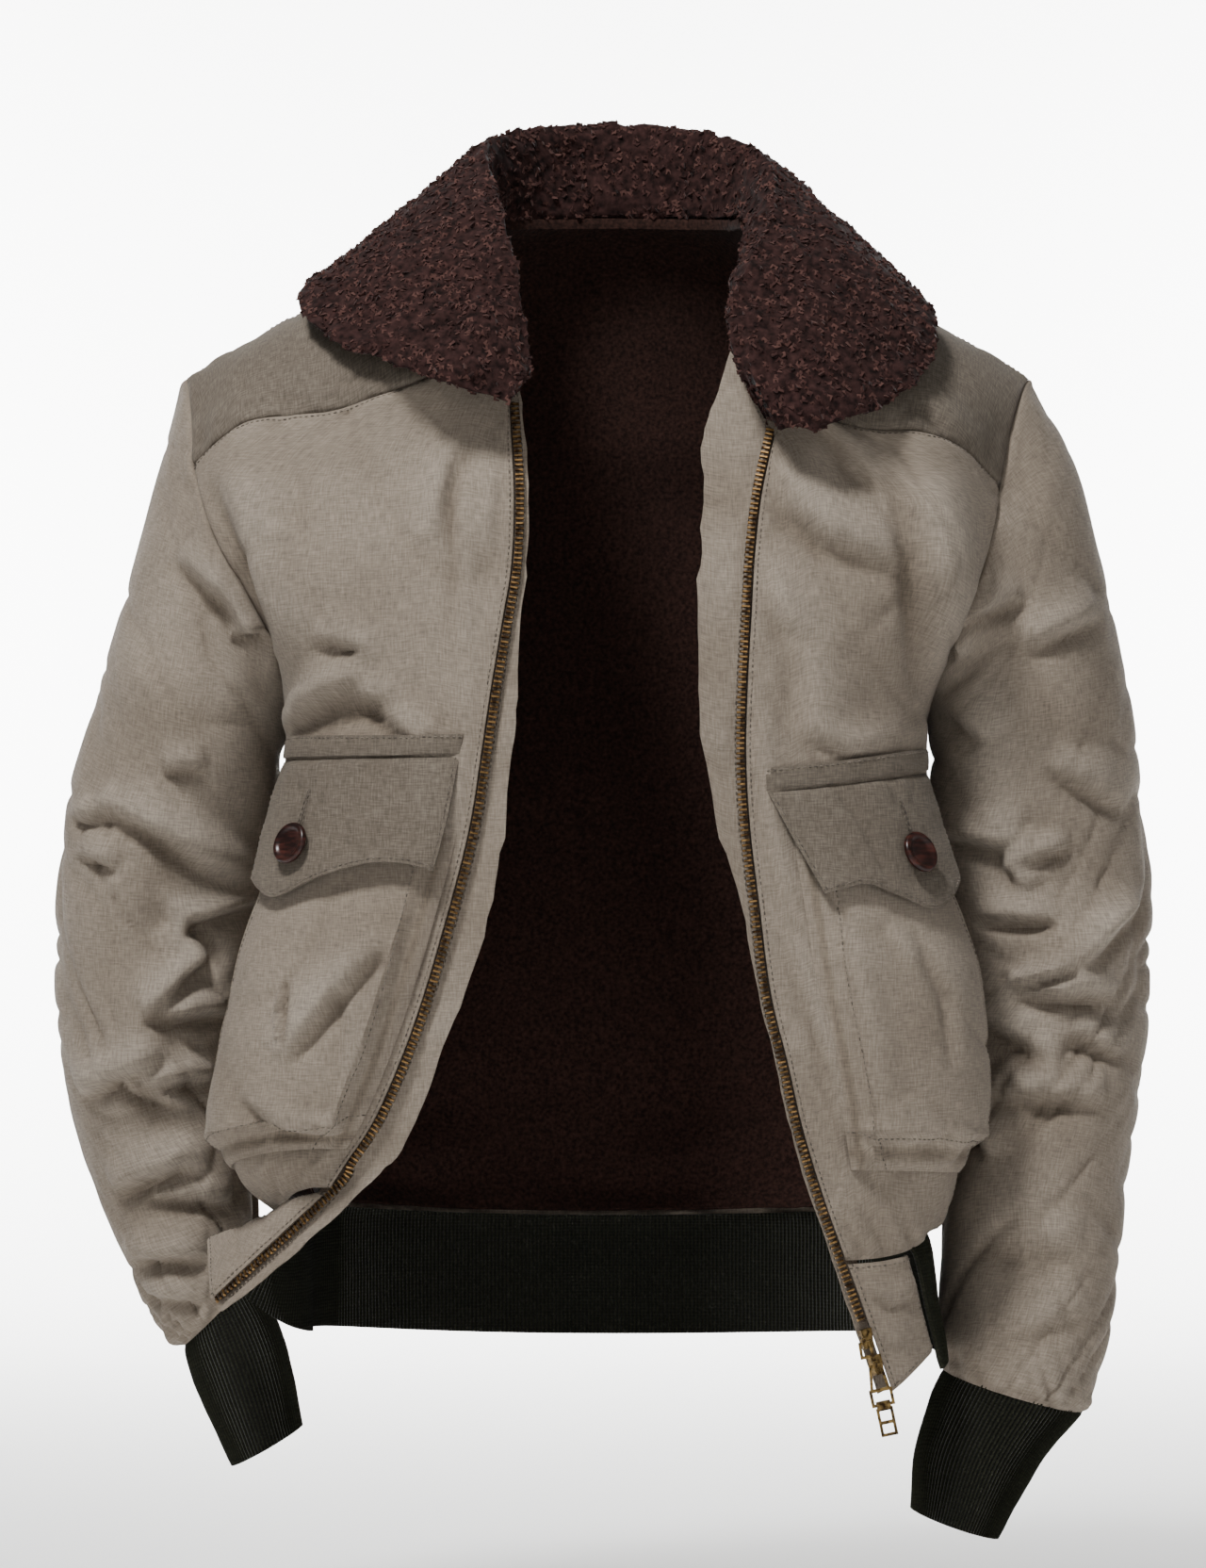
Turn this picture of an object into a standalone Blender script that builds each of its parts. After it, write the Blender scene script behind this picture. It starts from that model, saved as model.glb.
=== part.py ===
"""Flight jacket worn open over an empty hollow: cut pieces of cloth as thin shells.

Lengths in the tables are millimetres, x counted outward from the middle of the body,
y to the back and z up. Side -1 is the wearer's right and side +1 the wearer's left.
"""

import bpy
import numpy as np

MM = 0.001
WALL = 1.8
KNIT_WALL = 2.4
SEAM_GAP = 0.5
ARMPIT_GAP = 4.4
CUFF_GAP = 2.0
TAB_GAP = 1.0
ROUNDNESS = 0.72
SIDES = {-1: "right", 1: "left"}

# Cloth layers at a front edge, as depths under the outer face of the front.
TAPE_DEPTH = (2.5, 3.1)
TEETH_RISE = 0.3
TAPE_TOP_SHARE = 0.45
TEETH_END = {-1: 13.0, 1: 12.49}
EDGE_ROWS = (12.46, 12.52, 12.97)
FACING_DEPTH = (3.9, 4.6)
LINING_DEPTH = (5.1, 6.1)

# Top edge of each front: neckline as far as u = 0.16, yoke seam from there to the armhole.
# u, x, y, z
FRONT_TOP = {
    -1: (
        (0.00, 53, -98, -103),
        (0.08, 56, -91, -86),
        (0.16, 60, -85, -68),
        (0.27, 80, -97, -82),
        (0.39, 103, -105, -94),
        (0.51, 125, -104, -101),
        (0.63, 148, -98, -108),
        (0.75, 170, -92, -110),
        (0.87, 196, -79, -114),
        (1.00, 225, -52, -135),
    ),
    1: (
        (0.00, 90, -100, -117),
        (0.08, 80, -92, -95),
        (0.16, 72, -84, -73),
        (0.27, 90, -96, -92),
        (0.39, 110, -104, -108),
        (0.51, 128, -105, -116),
        (0.63, 146, -103, -119),
        (0.75, 168, -95, -120),
        (0.87, 192, -78, -128),
        (1.00, 214, -52, -146),
    ),
}

# Sections of each front below that, from the zip edge round the corner to the side.
# Rows 1 to 3 end on the armhole, row 4 at the armpit, row 12 on the hem seam.
# x_edge, y_edge, z_edge, x_corner, y_corner, x_side, y_side, z_side
FRONT_ROWS = {
    -1: (
        (50, -113, -150, 160, -116, 215, -66, -167),
        (51, -121, -190, 168, -122, 197, -66, -201),
        (56, -127, -222, 170, -122, 181, -50, -231),
        (62, -132, -258, 180, -116, 176, 0, -261),
        (67, -134, -292, 198, -118, 171, 2, -300),
        (73, -135, -330, 206, -118, 171, 4, -338),
        (83, -135, -370, 212, -116, 172, 4, -378),
        (97, -132, -418, 226, -112, 174, 4, -428),
        (109, -128, -452, 240, -108, 174, 4, -468),
        (124, -122, -486, 244, -104, 174, 2, -505),
        (139, -118, -509, 229, -108, 172, 0, -530),
        (148, -112, -523, 187, -95, 167, -2, -545),
    ),
    1: (
        (82, -112, -152, 168, -118, 209, -66, -172),
        (78, -120, -185, 172, -124, 199, -68, -199),
        (76, -127, -218, 174, -124, 187, -50, -225),
        (74, -131, -254, 182, -120, 178, 0, -261),
        (73, -134, -292, 188, -122, 172, 2, -298),
        (75, -135, -330, 196, -124, 172, 4, -336),
        (80, -135, -372, 208, -126, 174, 4, -376),
        (86, -134, -418, 220, -128, 175, 4, -420),
        (95, -133, -455, 225, -128, 175, 2, -460),
        (103, -131, -490, 222, -126, 175, 0, -498),
        (114, -128, -526, 209, -122, 173, -4, -530),
        (126, -126, -560, 189, -116, 167, -8, -548),
    ),
}

# Armhole down the back, from the yoke seam towards the armpit. x, y, z
BACK_ARMHOLE = {
    -1: ((228, 54, -128), (216, 72, -165), (200, 74, -200), (183, 54, -232)),
    1: ((220, 54, -132), (212, 72, -168), (201, 74, -200), (187, 54, -228)),
}

# Sections of the back, row by row with the fronts. y_middle, z_middle, x_corner
BACK_ROWS = (
    (108, -112, 165),
    (116, -148, 168),
    (121, -184, 172),
    (124, -220, 172),
    (124, -262, 178),
    (122, -300, 186),
    (120, -340, 188),
    (118, -380, 190),
    (118, -425, 194),
    (118, -465, 196),
    (116, -505, 194),
    (108, -538, 188),
    (98, -556, 180),
)

# Shoulder seam from the neck to the sleeve. x, y, z
SHOULDER = ((80, -12, 2), (120, -9, -18), (160, -4, -41), (199, 0, -63), (234, 2, -83))
BACK_NECK = (0, 62, 12)
# How far the collar stands in from the neck seam, and at least how far above it.
COLLAR_INSET = 4.6
COLLAR_RISE = 4.0

# Sleeve sections after the armhole: silhouette points outside and inside, middle, depth.
# x_out, z_out, x_in, z_in, y_middle, half_depth
SLEEVE_ROWS = {
    -1: (
        (250, -142, 183, -271, 6, 68),
        (267, -205, 188, -284, 8, 68),
        (283, -257, 194, -304, 12, 66),
        (298, -311, 198, -334, 18, 65),
        (305, -362, 199, -368, 24, 64),
        (307, -414, 202, -407, 30, 64),
        (304, -464, 205, -443, 30, 62),
        (292, -514, 202, -477, 28, 56),
        (275, -556, 196, -515, 24, 48),
        (257, -592, 196, -550, 20, 38),
        (236, -620, 195, -582, 16, 30),
    ),
    1: (
        (256, -126, 185, -270, 6, 68),
        (273, -187, 189, -290, 8, 68),
        (288, -255, 189, -318, 12, 68),
        (296, -322, 191, -345, 16, 67),
        (302, -377, 194, -380, 20, 66),
        (300, -427, 193, -422, 18, 64),
        (295, -479, 189, -474, 8, 62),
        (286, -530, 186, -525, -4, 58),
        (280, -576, 184, -571, -16, 54),
        (271, -618, 181, -606, -28, 49),
        (260, -650, 181, -627, -36, 43),
    ),
}
CUFF_ROWS = {
    -1: ((226, -648, 180, -614, 12, 30), (208, -686, 168, -664, 8, 27)),
    1: ((237, -674, 166, -668, -48, 35), (211, -717, 163, -700, -60, 27)),
}

SHOULDER_W = (0.0, 0.17, 0.34, 0.5, 0.67, 0.84, 1.0)
NECK_U = 0.16
NECK_SHARE = 0.35
# Where the cloth tab at each front end stops along the hem, and its bottom corners.
# hem_share, x_front, y_front, z_front, x_back, y_back, z_back
TABS = {
    -1: (0.5, 213, -92, -584, 218, -52, -553),
    1: (0.35, 151, -122, -630, 175, -98, -610),
}
# How the knit waistband drops from the hem, round from each tab. t_front, x, y, z
BAND_DROP = {
    -1: ((0.5, 43, 22, -30), (0.65, 28, 18, -44), (0.82, 10, 8, -58), (1.0, -1, 2, -66)),
    1: ((0.35, 17, 8, -65), (0.55, 12, 4, -67), (0.8, 6, 2, -67), (1.0, 2, 0, -67)),
}
BACK_DROP = (0, -3, -66)

# Two sliders parked at the bottom of the zip on the wearer's left: row, hinge point.
# Their pulls hang in the plane of the hinge and the plumb line, leaning as the zip does.
SLIDERS = {
    "slider_upper": (12.60, (135.5, -130.6, -603.0)),
    "slider_lower": (12.78, (141.2, -130.2, -615.0)),
}
PULL_LEAN = 12.0
SLIDER_PLATE = (3.4, 5.2, 1.0)
BAIL_WIDTH = 2.0
BAIL_HOLE = (3.8, 1.3)
BAIL_METAL = 0.9
BAR_HALF = (0.8, 0.7)
# Rings of each pull as outlines down from the hinge: half width, height, bar thickness.
# half_top, top, half_bottom, bottom, bar
SHORT_PULL = ((3.4, -0.8, 3.8, 8.2, 1.6),)
PULL_LINK = ((3.6, -0.8, 5.4, 13.6, 1.6), (6.2, 12.2, 6.2, 21.6, 1.6))
PULL_TAB = ((4.5, 22.4, 4.5, 31.0, 1.6), (4.5, 29.6, 4.5, 37.6, 1.6))
TAB_HINGE = 20.8
TAB_TUBE = (3.8, 1.9, 1.2)

# Width of each facing beyond the zip edge, one for each row of the front and the tab.
FACING_WIDTH = {
    -1: (7, 8, 8, 9, 14, 16, 18, 22, 22, 20, 22, 24, 18, 10),
    1: (38, 32, 29, 28, 26, 22, 17, 9, 6.5, 6.5, 6.5, 6.5, 6.5, 6.5),
}
LINING_BEYOND = {-1: -1.5, 1: 1.8}

# Collar, round from the wearer's right zip end to the left: its roll and its free edge.
# x_roll, y_roll, z_roll, x_edge, y_edge, z_edge
COLLAR = (
    (-39, -114, -88, -50, -127, -107),
    (-45, -100, -53, -97, -123, -90),
    (-52, -80, -19, -148, -90, -66),
    (-60, -42, 14, -163, -42, -38),
    (-67, 8, 46, -134, 44, -16),
    (-40, 52, 60, -84, 92, -22),
    (2, 66, 64, 0, 112, -28),
    (48, 50, 58, 88, 92, -28),
    (86, 10, 42, 137, 42, -19),
    (91, -42, 8, 173, -52, -51),
    (78, -82, -24, 162, -98, -90),
    (65, -104, -56, 120, -128, -115),
    (68, -116, -84, 90, -129, -121),
)

# Flaps in the u and v of their front: top edge, then the bottom edge with its point.
# u_top, v_top, u_bottom, v_bottom
FLAPS = {
    -1: (
        (0.04, 5.0, 0.04, 6.6),
        (0.12, 5.0, 0.11, 6.5),
        (0.20, 5.0, 0.19, 6.5),
        (0.303, 4.98, 0.30, 6.65),
        (0.446, 4.95, 0.44, 6.9),
        (0.56, 4.92, 0.54, 6.8),
        (0.68, 4.9, 0.64, 6.6),
    ),
    1: (
        (0.04, 5.5, 0.13, 6.85),
        (0.12, 5.45, 0.18, 6.78),
        (0.20, 5.4, 0.24, 6.74),
        (0.303, 5.32, 0.32, 6.88),
        (0.446, 5.22, 0.43, 7.05),
        (0.56, 5.15, 0.53, 6.9),
        (0.70, 5.1, 0.63, 6.65),
    ),
}
FLAP_LIFT = (1.2, 12.6)
WELT_ROWS = 0.3
# Pockets in the same u and v: columns across, and rows down from the opening.
POCKET_U = {
    -1: (0.02, 0.035, 0.16, 0.303, 0.446, 0.58, 0.70, 0.7228),
    1: (0.09, 0.105, 0.16, 0.303, 0.446, 0.58, 0.70, 0.7228),
}
POCKET_V = (6.1, 6.5, 7.0, 8.0, 9.0, 10.0, 10.5, 10.6)
POCKET_LIFT = (2.2, 3.8, 14.0)
# Button on each flap: u, v, lift
BUTTONS = {-1: (0.42, 6.2, 11.6), 1: (0.42, 6.35, 11.6)}
BUTTON_RADIUS = 11.5
# Half profile of a button: radius as a share, height
BUTTON_PROFILE = (
    (0.0, 0.0),
    (0.86, 0.0),
    (1.0, 1.2),
    (1.0, 2.6),
    (0.9, 3.8),
    (0.74, 3.4),
    (0.62, 2.4),
    (0.0, 2.1),
)

# The largest folds, as soft ridges and troughs between two places seen from the front.
# x, z, x_end, z_end, width, height
FOLDS = (
    (172, -140, 183, -222, 24, 7),
    (-202, -137, -172, -240, 24, 7),
    (-199, -362, -240, -384, 18, -6),
    (-205, -396, -256, -431, 20, 6),
    (-292, -474, -245, -450, 18, 5),
    (-252, -528, -208, -533, 16, -5),
    (-250, -250, -205, -300, 20, 5),
    (209, -376, 250, -402, 20, 6),
    (250, -402, 292, -372, 20, 6),
    (201, -425, 248, -457, 16, -6),
    (211, -474, 272, -476, 18, 5),
    (240, -293, 287, -317, 16, -5),
    (206, -538, 262, -560, 18, 5),
)
BACK_FOLD_SHARE = 0.6

FRONT_U = (0.0, 0.08) + tuple(NECK_U + (1 - NECK_U) * w for w in SHOULDER_W)
BODY_V = tuple(np.linspace(0, 4, 6)) + tuple(range(5, 13))
BACK_T = (0.0, 0.12, 0.24) + tuple(NECK_SHARE + (1 - NECK_SHARE) * w for w in SHOULDER_W)
YOKE_W = (0.0, 1 / 3, 2 / 3, 1.0)
SLEEVE_RINGS = 14


def hermite(at, knots, rows):
    """Smooth curve through rows of values at the knots, read at each of at."""
    at, knots, rows = (np.asarray(a, float) for a in (at, knots, rows))
    slopes = np.gradient(rows, knots, axis=0)
    i = np.clip(np.searchsorted(knots, at, side="right") - 1, 0, len(knots) - 2)
    step = knots[i + 1] - knots[i]
    t = (at - knots[i]) / step
    shape = (len(at),) + (1,) * (rows.ndim - 1)
    t, step = t.reshape(shape), step.reshape(shape)
    return (
        (2 * t**3 - 3 * t**2 + 1) * rows[i]
        + (t**3 - 2 * t**2 + t) * step * slopes[i]
        + (3 * t**2 - 2 * t**3) * rows[i + 1]
        + (t**3 - t**2) * step * slopes[i + 1]
    )


def section(start, corner, end, t):
    """A rounded corner from start to end. The height follows smoothly between them."""
    start, end, t = np.asarray(start, float), np.asarray(end, float), np.asarray(t, float)[:, None]
    corner = np.array([corner[0], corner[1], 0.0])
    first = start + ROUNDNESS * (corner - start)
    last = end + ROUNDNESS * (corner - end)
    points = (
        (1 - t) ** 3 * start + 3 * t * (1 - t) ** 2 * first + 3 * t**2 * (1 - t) * last + t**3 * end
    )
    rise = t[:, 0] ** 2 * (3 - 2 * t[:, 0])
    points[:, 2] = start[2] + (end[2] - start[2]) * rise
    return points


def front_rows(side, u):
    """All the sections of one front at the places u, before they are joined down it."""
    top = np.array(FRONT_TOP[side], float)
    rows = [hermite(u, top[:, 0], top[:, 1:])]
    for row in FRONT_ROWS[side]:
        rows.append(section(row[:3], row[3:5], row[5:], u))
    return np.array(rows)


def front_at(side, v, u):
    """Points of a front on a grid of rows v and columns u, in body coordinates."""
    rows = hermite(v, np.arange(13), front_rows(side, u))
    return rows * [side, 1, 1]


def side_points(side):
    """Where the back ends: armhole, armpit, then the side seam it shares with the front."""
    shared = [row[5:] for row in FRONT_ROWS[side][3:]]
    return list(BACK_ARMHOLE[side]) + shared


def back_half(side, v, t):
    """Points of half the back, from its middle to the side."""
    rows = []
    for (y, z, x_corner), end in zip(BACK_ROWS, side_points(side)):
        rows.append(section((0, y, z), (x_corner, y), end, t))
    return hermite(v, np.arange(13), np.array(rows)) * [side, 1, 1]


def back_at(v, t):
    right = back_half(-1, v, t)[:, ::-1]
    return np.concatenate([right, back_half(1, v, t)[:, 1:]], axis=1)


def shoulder_at(side, w):
    return hermite(w, np.linspace(0, 1, len(SHOULDER)), SHOULDER) * [side, 1, 1]


def over_shoulder(low, high, w, lean):
    """Rows from the yoke seam up and over to the shoulder seam."""
    middle = (low + high) / 2
    middle[:, 1] = low[:, 1] + lean * (high[:, 1] - low[:, 1])
    middle[:, 2] = high[:, 2] - 0.16 * (high[:, 2] - low[:, 2])
    w = np.asarray(w)[:, None, None]
    return (1 - w) ** 2 * low + 2 * w * (1 - w) * middle + w**2 * high


def yoke_front_at(side, w, u):
    low = front_at(side, [0], u)[0]
    high = shoulder_at(side, (np.asarray(u) - NECK_U) / (1 - NECK_U))
    return over_shoulder(low, high, w, 0.22)


def yoke_back_top(side, t):
    """Back neckline as far as the share of the neck, then the shoulder seam."""
    t = np.round(np.asarray(t, float), 9)
    turn = np.clip(t / NECK_SHARE, 0, 1) * np.pi / 2
    neck_x, neck_y, neck_z = SHOULDER[0]
    neck = np.stack(
        [
            neck_x * np.sin(turn),
            neck_y + (BACK_NECK[1] - neck_y) * np.cos(turn),
            neck_z + (BACK_NECK[2] - neck_z) * np.cos(turn),
        ],
        axis=-1,
    ) * [side, 1, 1]
    out = shoulder_at(side, np.clip((t - NECK_SHARE) / (1 - NECK_SHARE), 0, 1))
    return np.where((t > NECK_SHARE)[:, None], out, neck)


def yoke_back_at(w, t):
    halves = []
    for side in (-1, 1):
        low = back_half(side, [0], t)[0]
        halves.append(over_shoulder(low, yoke_back_top(side, t), w, 0.22))
    return np.concatenate([halves[0][:, ::-1], halves[1][:, 1:]], axis=1)


def armhole(side):
    """The armhole as one loop from the armpit up the front, over the shoulder, down the back."""
    body = [v for v in BODY_V if v <= 4]
    front = front_at(side, body, [1.0])[::-1, 0]
    over = yoke_front_at(side, YOKE_W, [1.0])[1:, 0]
    yoke = over_shoulder(
        back_half(side, [0], [1.0])[0], yoke_back_top(side, [1.0]), YOKE_W, 0.22
    )[::-1][1:, 0]
    back = back_half(side, body, [1.0])[1:-1, 0]
    return np.concatenate([front, over, yoke, back])


def loop_angles(loop):
    """Angle of each point round the sleeve: 0 at the armpit, half a turn at the shoulder."""
    half = int(np.argmax(loop[:, 2]))
    around = np.linalg.norm(np.diff(np.vstack([loop, loop[:1]]), axis=0), axis=1)
    up, down = np.cumsum(around[:half]), np.cumsum(around[half:])
    return np.concatenate([[0], up / up[-1] * np.pi, np.pi + down[:-1] / down[-1] * np.pi])


def ring(side, row, angles):
    """One sleeve section: 0 faces the body, a quarter turn faces the front."""
    x_out, z_out, x_in, z_in, y, depth = row
    middle = np.array([(x_out + x_in) / 2, y, (z_out + z_in) / 2])
    across = np.array([x_in - x_out, 0, z_in - z_out]) / 2
    front = np.array([0, -depth, 0])
    points = middle + np.cos(angles)[:, None] * across + np.sin(angles)[:, None] * front
    return points * [side, 1, 1]


def sleeve_at(side, v):
    loop = armhole(side)
    angles = loop_angles(loop)
    rings = [loop] + [ring(side, row, angles) for row in SLEEVE_ROWS[side]]
    return hermite(v, np.arange(len(rings)), np.array(rings))


def cuff_at(side, v):
    angles = loop_angles(armhole(side))
    rows = SLEEVE_ROWS[side][-1:] + CUFF_ROWS[side]
    return hermite(v, np.arange(3), np.array([ring(side, row, angles) for row in rows]))


def grid_normals(grid, wrap=False):
    """Unit normals of a grid of points, facing the way its rows and columns turn."""
    if wrap:
        across = np.roll(grid, -1, axis=1) - np.roll(grid, 1, axis=1)
    else:
        across = np.gradient(grid, axis=1)
    down = np.gradient(grid, axis=0)
    normals = np.cross(across, down)
    return normals / np.linalg.norm(normals, axis=2, keepdims=True)


def away_from(normals, grid, middle):
    """The same normals, turned as a whole to face away from a point inside."""
    facing = ((grid - np.asarray(middle, float)) * normals).sum()
    return normals if facing > 0 else -normals


def key(point):
    return tuple(np.round(point, 2))


def share_normals(pieces):
    """Gives points that two pieces have in common one normal, so that their walls meet."""
    sums = {}
    for grid, normals in pieces.values():
        for point, normal in zip(grid.reshape(-1, 3), normals.reshape(-1, 3)):
            sums[key(point)] = sums.get(key(point), 0) + normal
    for grid, normals in pieces.values():
        for place, point in enumerate(grid.reshape(-1, 3)):
            total = sums[key(point)]
            normals.reshape(-1, 3)[place] = total / np.linalg.norm(total)


def inset(grid, gap, wrap=False, top_gap=None):
    """Draws the borders of a grid in by half a seam gap. The top may have its own, point by point."""
    grid = grid.copy()
    gaps = {0: gap if top_gap is None else np.reshape(top_gap, (-1, 1)), -1: gap}
    for line, towards in ((0, 1), (-1, -2)):
        step = grid[towards] - grid[line]
        grid[line] += step / np.linalg.norm(step, axis=1, keepdims=True) * gaps[line] / 2
        if not wrap:
            step = grid[:, towards] - grid[:, line]
            grid[:, line] += step / np.linalg.norm(step, axis=1, keepdims=True) * gap / 2
    return grid


def shell_faces(rows, columns, wrap):
    """Faces of a closed shell: an outer grid, the same grid inside it, and its borders.

    Both grids split their quads the same way, so that the wall stays even.
    """
    inner = rows * columns
    last = columns if wrap else columns - 1
    faces = []
    for i in range(rows - 1):
        for j in range(last):
            k = (j + 1) % columns
            a, b, c, d = i * columns + j, i * columns + k, (i + 1) * columns + k, (i + 1) * columns + j
            for three in ((a, b, c), (a, c, d)):
                faces += [three, tuple(inner + point for point in reversed(three))]
    for j in range(last):
        k = (j + 1) % columns
        low = (rows - 1) * columns
        faces.append((k, j, inner + j, inner + k))
        faces.append((low + j, low + k, inner + low + k, inner + low + j))
    if not wrap:
        for i in range(rows - 1):
            a, b = i * columns, (i + 1) * columns
            c, d = a + columns - 1, b + columns - 1
            faces.append((a, b, inner + b, inner + a))
            faces.append((d, c, inner + c, inner + d))
    return faces


def volume(points, faces):
    total = 0.0
    for face in faces:
        for i in range(1, len(face) - 1):
            a, b, c = points[face[0]], points[face[i]], points[face[i + 1]]
            total += np.dot(a, np.cross(b, c))
    return total


def add_object(name, points, faces, colour, group):
    """A named mesh object of its own colour, its faces turned outward."""
    points = np.asarray(points, float)
    if volume(points, faces) < 0:
        faces = [tuple(reversed(face)) for face in faces]
    mesh = bpy.data.meshes.new(name)
    mesh.from_pydata((points * MM).tolist(), [], faces)
    mesh.update()
    material = bpy.data.materials.new(name)
    material.use_nodes = True
    material.node_tree.nodes["Principled BSDF"].inputs["Base Color"].default_value = (*colour, 1)
    material.diffuse_color = (*colour, 1)
    mesh.materials.append(material)
    item = bpy.data.objects.new(name, mesh)
    group.objects.link(item)
    return item


def add_shell(name, outer, inner, colour, group, wrap=False):
    rows, columns = outer.shape[:2]
    points = np.concatenate([outer.reshape(-1, 3), inner.reshape(-1, 3)])
    return add_object(name, points, shell_faces(rows, columns, wrap), colour, group)


CLOTH = (0.30, 0.26, 0.21)
DARK_CLOTH = (0.20, 0.17, 0.14)
KNIT = (0.02, 0.02, 0.015)
FUR = (0.045, 0.024, 0.018)
PILE = (0.06, 0.035, 0.025)
HORN = (0.02, 0.01, 0.01)
BRASS = (0.35, 0.24, 0.12)


def clear_scene():
    for item in list(bpy.data.objects):
        bpy.data.objects.remove(item)


def new_group(name):
    group = bpy.data.collections.new(name)
    bpy.context.scene.collection.children.link(group)
    return group


def fold_height(points, normals):
    """How far the largest folds lift each point along its normal.

    The back of the same sleeve or side carries the same folds, lower.
    """
    height = np.zeros(points.shape[:-1])
    facing = np.where(normals[..., 1] < 0, -normals[..., 1], BACK_FOLD_SHARE * normals[..., 1])
    for x, z, x_end, z_end, width, lift in FOLDS:
        start, run = np.array([x, z], float), np.array([x_end - x, z_end - z], float)
        place = points[..., [0, 2]] - start
        share = np.clip((place @ run) / (run @ run), 0, 1)
        away = np.linalg.norm(place - share[..., None] * run, axis=-1)
        height += lift * np.exp(-((away / width) ** 2))
    return height * facing


def body_pieces():
    """Every piece of the outer cloth: name to its grid of points and its normals."""
    yoke_u = [u for u in FRONT_U if u >= NECK_U]
    rings = np.linspace(0, 11, SLEEVE_RINGS)
    pieces = {}
    for side, word in SIDES.items():
        grid = front_at(side, BODY_V, FRONT_U)
        pieces[f"front_{word}"] = [grid, away_from(grid_normals(grid), grid, (0, 0, -300))]
        grid = yoke_front_at(side, YOKE_W, yoke_u)
        pieces[f"yoke_front_{word}"] = [grid, away_from(grid_normals(grid), grid, (0, 0, -300))]
        grid = sleeve_at(side, rings)
        middle = grid.mean(axis=1, keepdims=True)
        pieces[f"sleeve_{word}"] = [grid, away_from(grid_normals(grid, True), grid, middle)]
    grid = back_at(BODY_V, BACK_T)
    pieces["back"] = [grid, away_from(grid_normals(grid), grid, (0, 0, -300))]
    grid = yoke_back_at(YOKE_W[::-1], BACK_T)
    pieces["yoke_back"] = [grid, away_from(grid_normals(grid), grid, (0, 0, -300))]
    share_normals(pieces)
    for piece in pieces.values():
        grid, normals = piece
        piece[0] = grid + fold_height(grid, normals)[..., None] * normals
    return pieces


def armhole_gaps(side):
    """Seam gap round the armhole, wider at the armpit, where three pieces fold together."""
    near_armpit = ((1 + np.cos(loop_angles(armhole(side)))) / 2) ** 3
    return SEAM_GAP + (ARMPIT_GAP - SEAM_GAP) * near_armpit


def build_body(group):
    pieces = body_pieces()
    for name, (grid, normals) in pieces.items():
        wrap = name.startswith("sleeve")
        colour = DARK_CLOTH if "yoke" in name else CLOTH
        top_gap = armhole_gaps(-1 if "right" in name else 1) if wrap else None
        outer = inset(grid, SEAM_GAP, wrap, top_gap)
        inner = inset(grid - WALL * normals, SEAM_GAP, wrap, top_gap)
        add_shell(name, outer, inner, colour, group, wrap)
    return pieces


def build_cuffs(group):
    for side, word in SIDES.items():
        grid = cuff_at(side, np.linspace(0, 2, 3))
        middle = grid.mean(axis=1, keepdims=True)
        normals = away_from(grid_normals(grid, True), grid, middle)
        outer = inset(grid, CUFF_GAP, True)
        inner = inset(grid - KNIT_WALL * normals, CUFF_GAP, True)
        add_shell(f"cuff_{word}", outer, inner, KNIT, group, True)


def build_lining(group, pieces):
    """Pile lining of the body: the fronts, and the back with its yoke."""
    near, far = LINING_DEPTH
    rows = BODY_V[1:-1]
    for side, word in SIDES.items():
        grid, normals = (part[1:-1] for part in pieces[f"front_{word}"])
        line, across, edge_normals = edge_frame(side, rows)
        reach = np.interp(rows, np.arange(14), FACING_WIDTH[side]) + LINING_BEYOND[side]
        edge = line + reach[:, None] * across
        grid = np.concatenate([edge[:, None], grid], axis=1)
        normals = np.concatenate([edge_normals[:, None], edge_normals[:, None], normals[:, 1:]], axis=1)
        outer, inner = inset(grid - near * normals, 8), inset(grid - far * normals, 8)
        add_shell(f"lining_front_{word}", outer, inner, PILE, group)
    (yoke, yoke_normals), (back, back_normals) = pieces["yoke_back"], pieces["back"]
    grid = np.concatenate([yoke, back[1:-1]])
    normals = np.concatenate([yoke_normals, back_normals[1:-1]])
    outer, inner = inset(grid - near * normals, 6), inset(grid - far * normals, 6)
    add_shell("lining_back", outer, inner, PILE, group)


def edge_line(side, rows):
    """The zip edge of a front, carried on down the front edge of its tab."""
    points = [FRONT_TOP[side][0][1:]] + [row[:3] for row in FRONT_ROWS[side]]
    points.append(TABS[side][1:4])
    return hermite(rows, np.arange(14), points) * [side, 1, 1]


def edge_across(side, rows):
    """Unit directions from the zip edge of a front, or of its tab, across the zip."""
    rows = np.asarray(rows, float)
    step = front_at(side, np.clip(rows, 1, 12), [0.0, 0.02])
    across = step[:, 0] - step[:, 1]
    across[:, 2] = 0
    across /= np.linalg.norm(across, axis=1, keepdims=True)
    edge = np.array(TABS[side][1:4]) - FRONT_ROWS[side][-1][:3]
    edge = edge / np.linalg.norm(edge)
    base = np.array(TABS[side][1:4], float) - TABS[side][4:]
    base -= edge * base.dot(edge)
    share = np.clip(rows - 12, 0, 1)[:, None]
    across = (1 - share) * across + share * base / np.linalg.norm(base) * [side, 1, 1]
    return across / np.linalg.norm(across, axis=1, keepdims=True)


def edge_frame(side, rows):
    """The zip edge, its direction towards the middle and its outward normal."""
    rows = np.asarray(rows, float)
    line, across = edge_line(side, rows), edge_across(side, rows)
    low, high = np.clip(rows - 0.05, 0, 13), np.clip(rows + 0.05, 0, 13)
    normals = np.cross(across, edge_line(side, high) - edge_line(side, low))
    normals /= np.linalg.norm(normals, axis=1, keepdims=True)
    normals *= np.where(normals[:, 1:2] > 0, -1, 1)
    return line, across, normals


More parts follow.
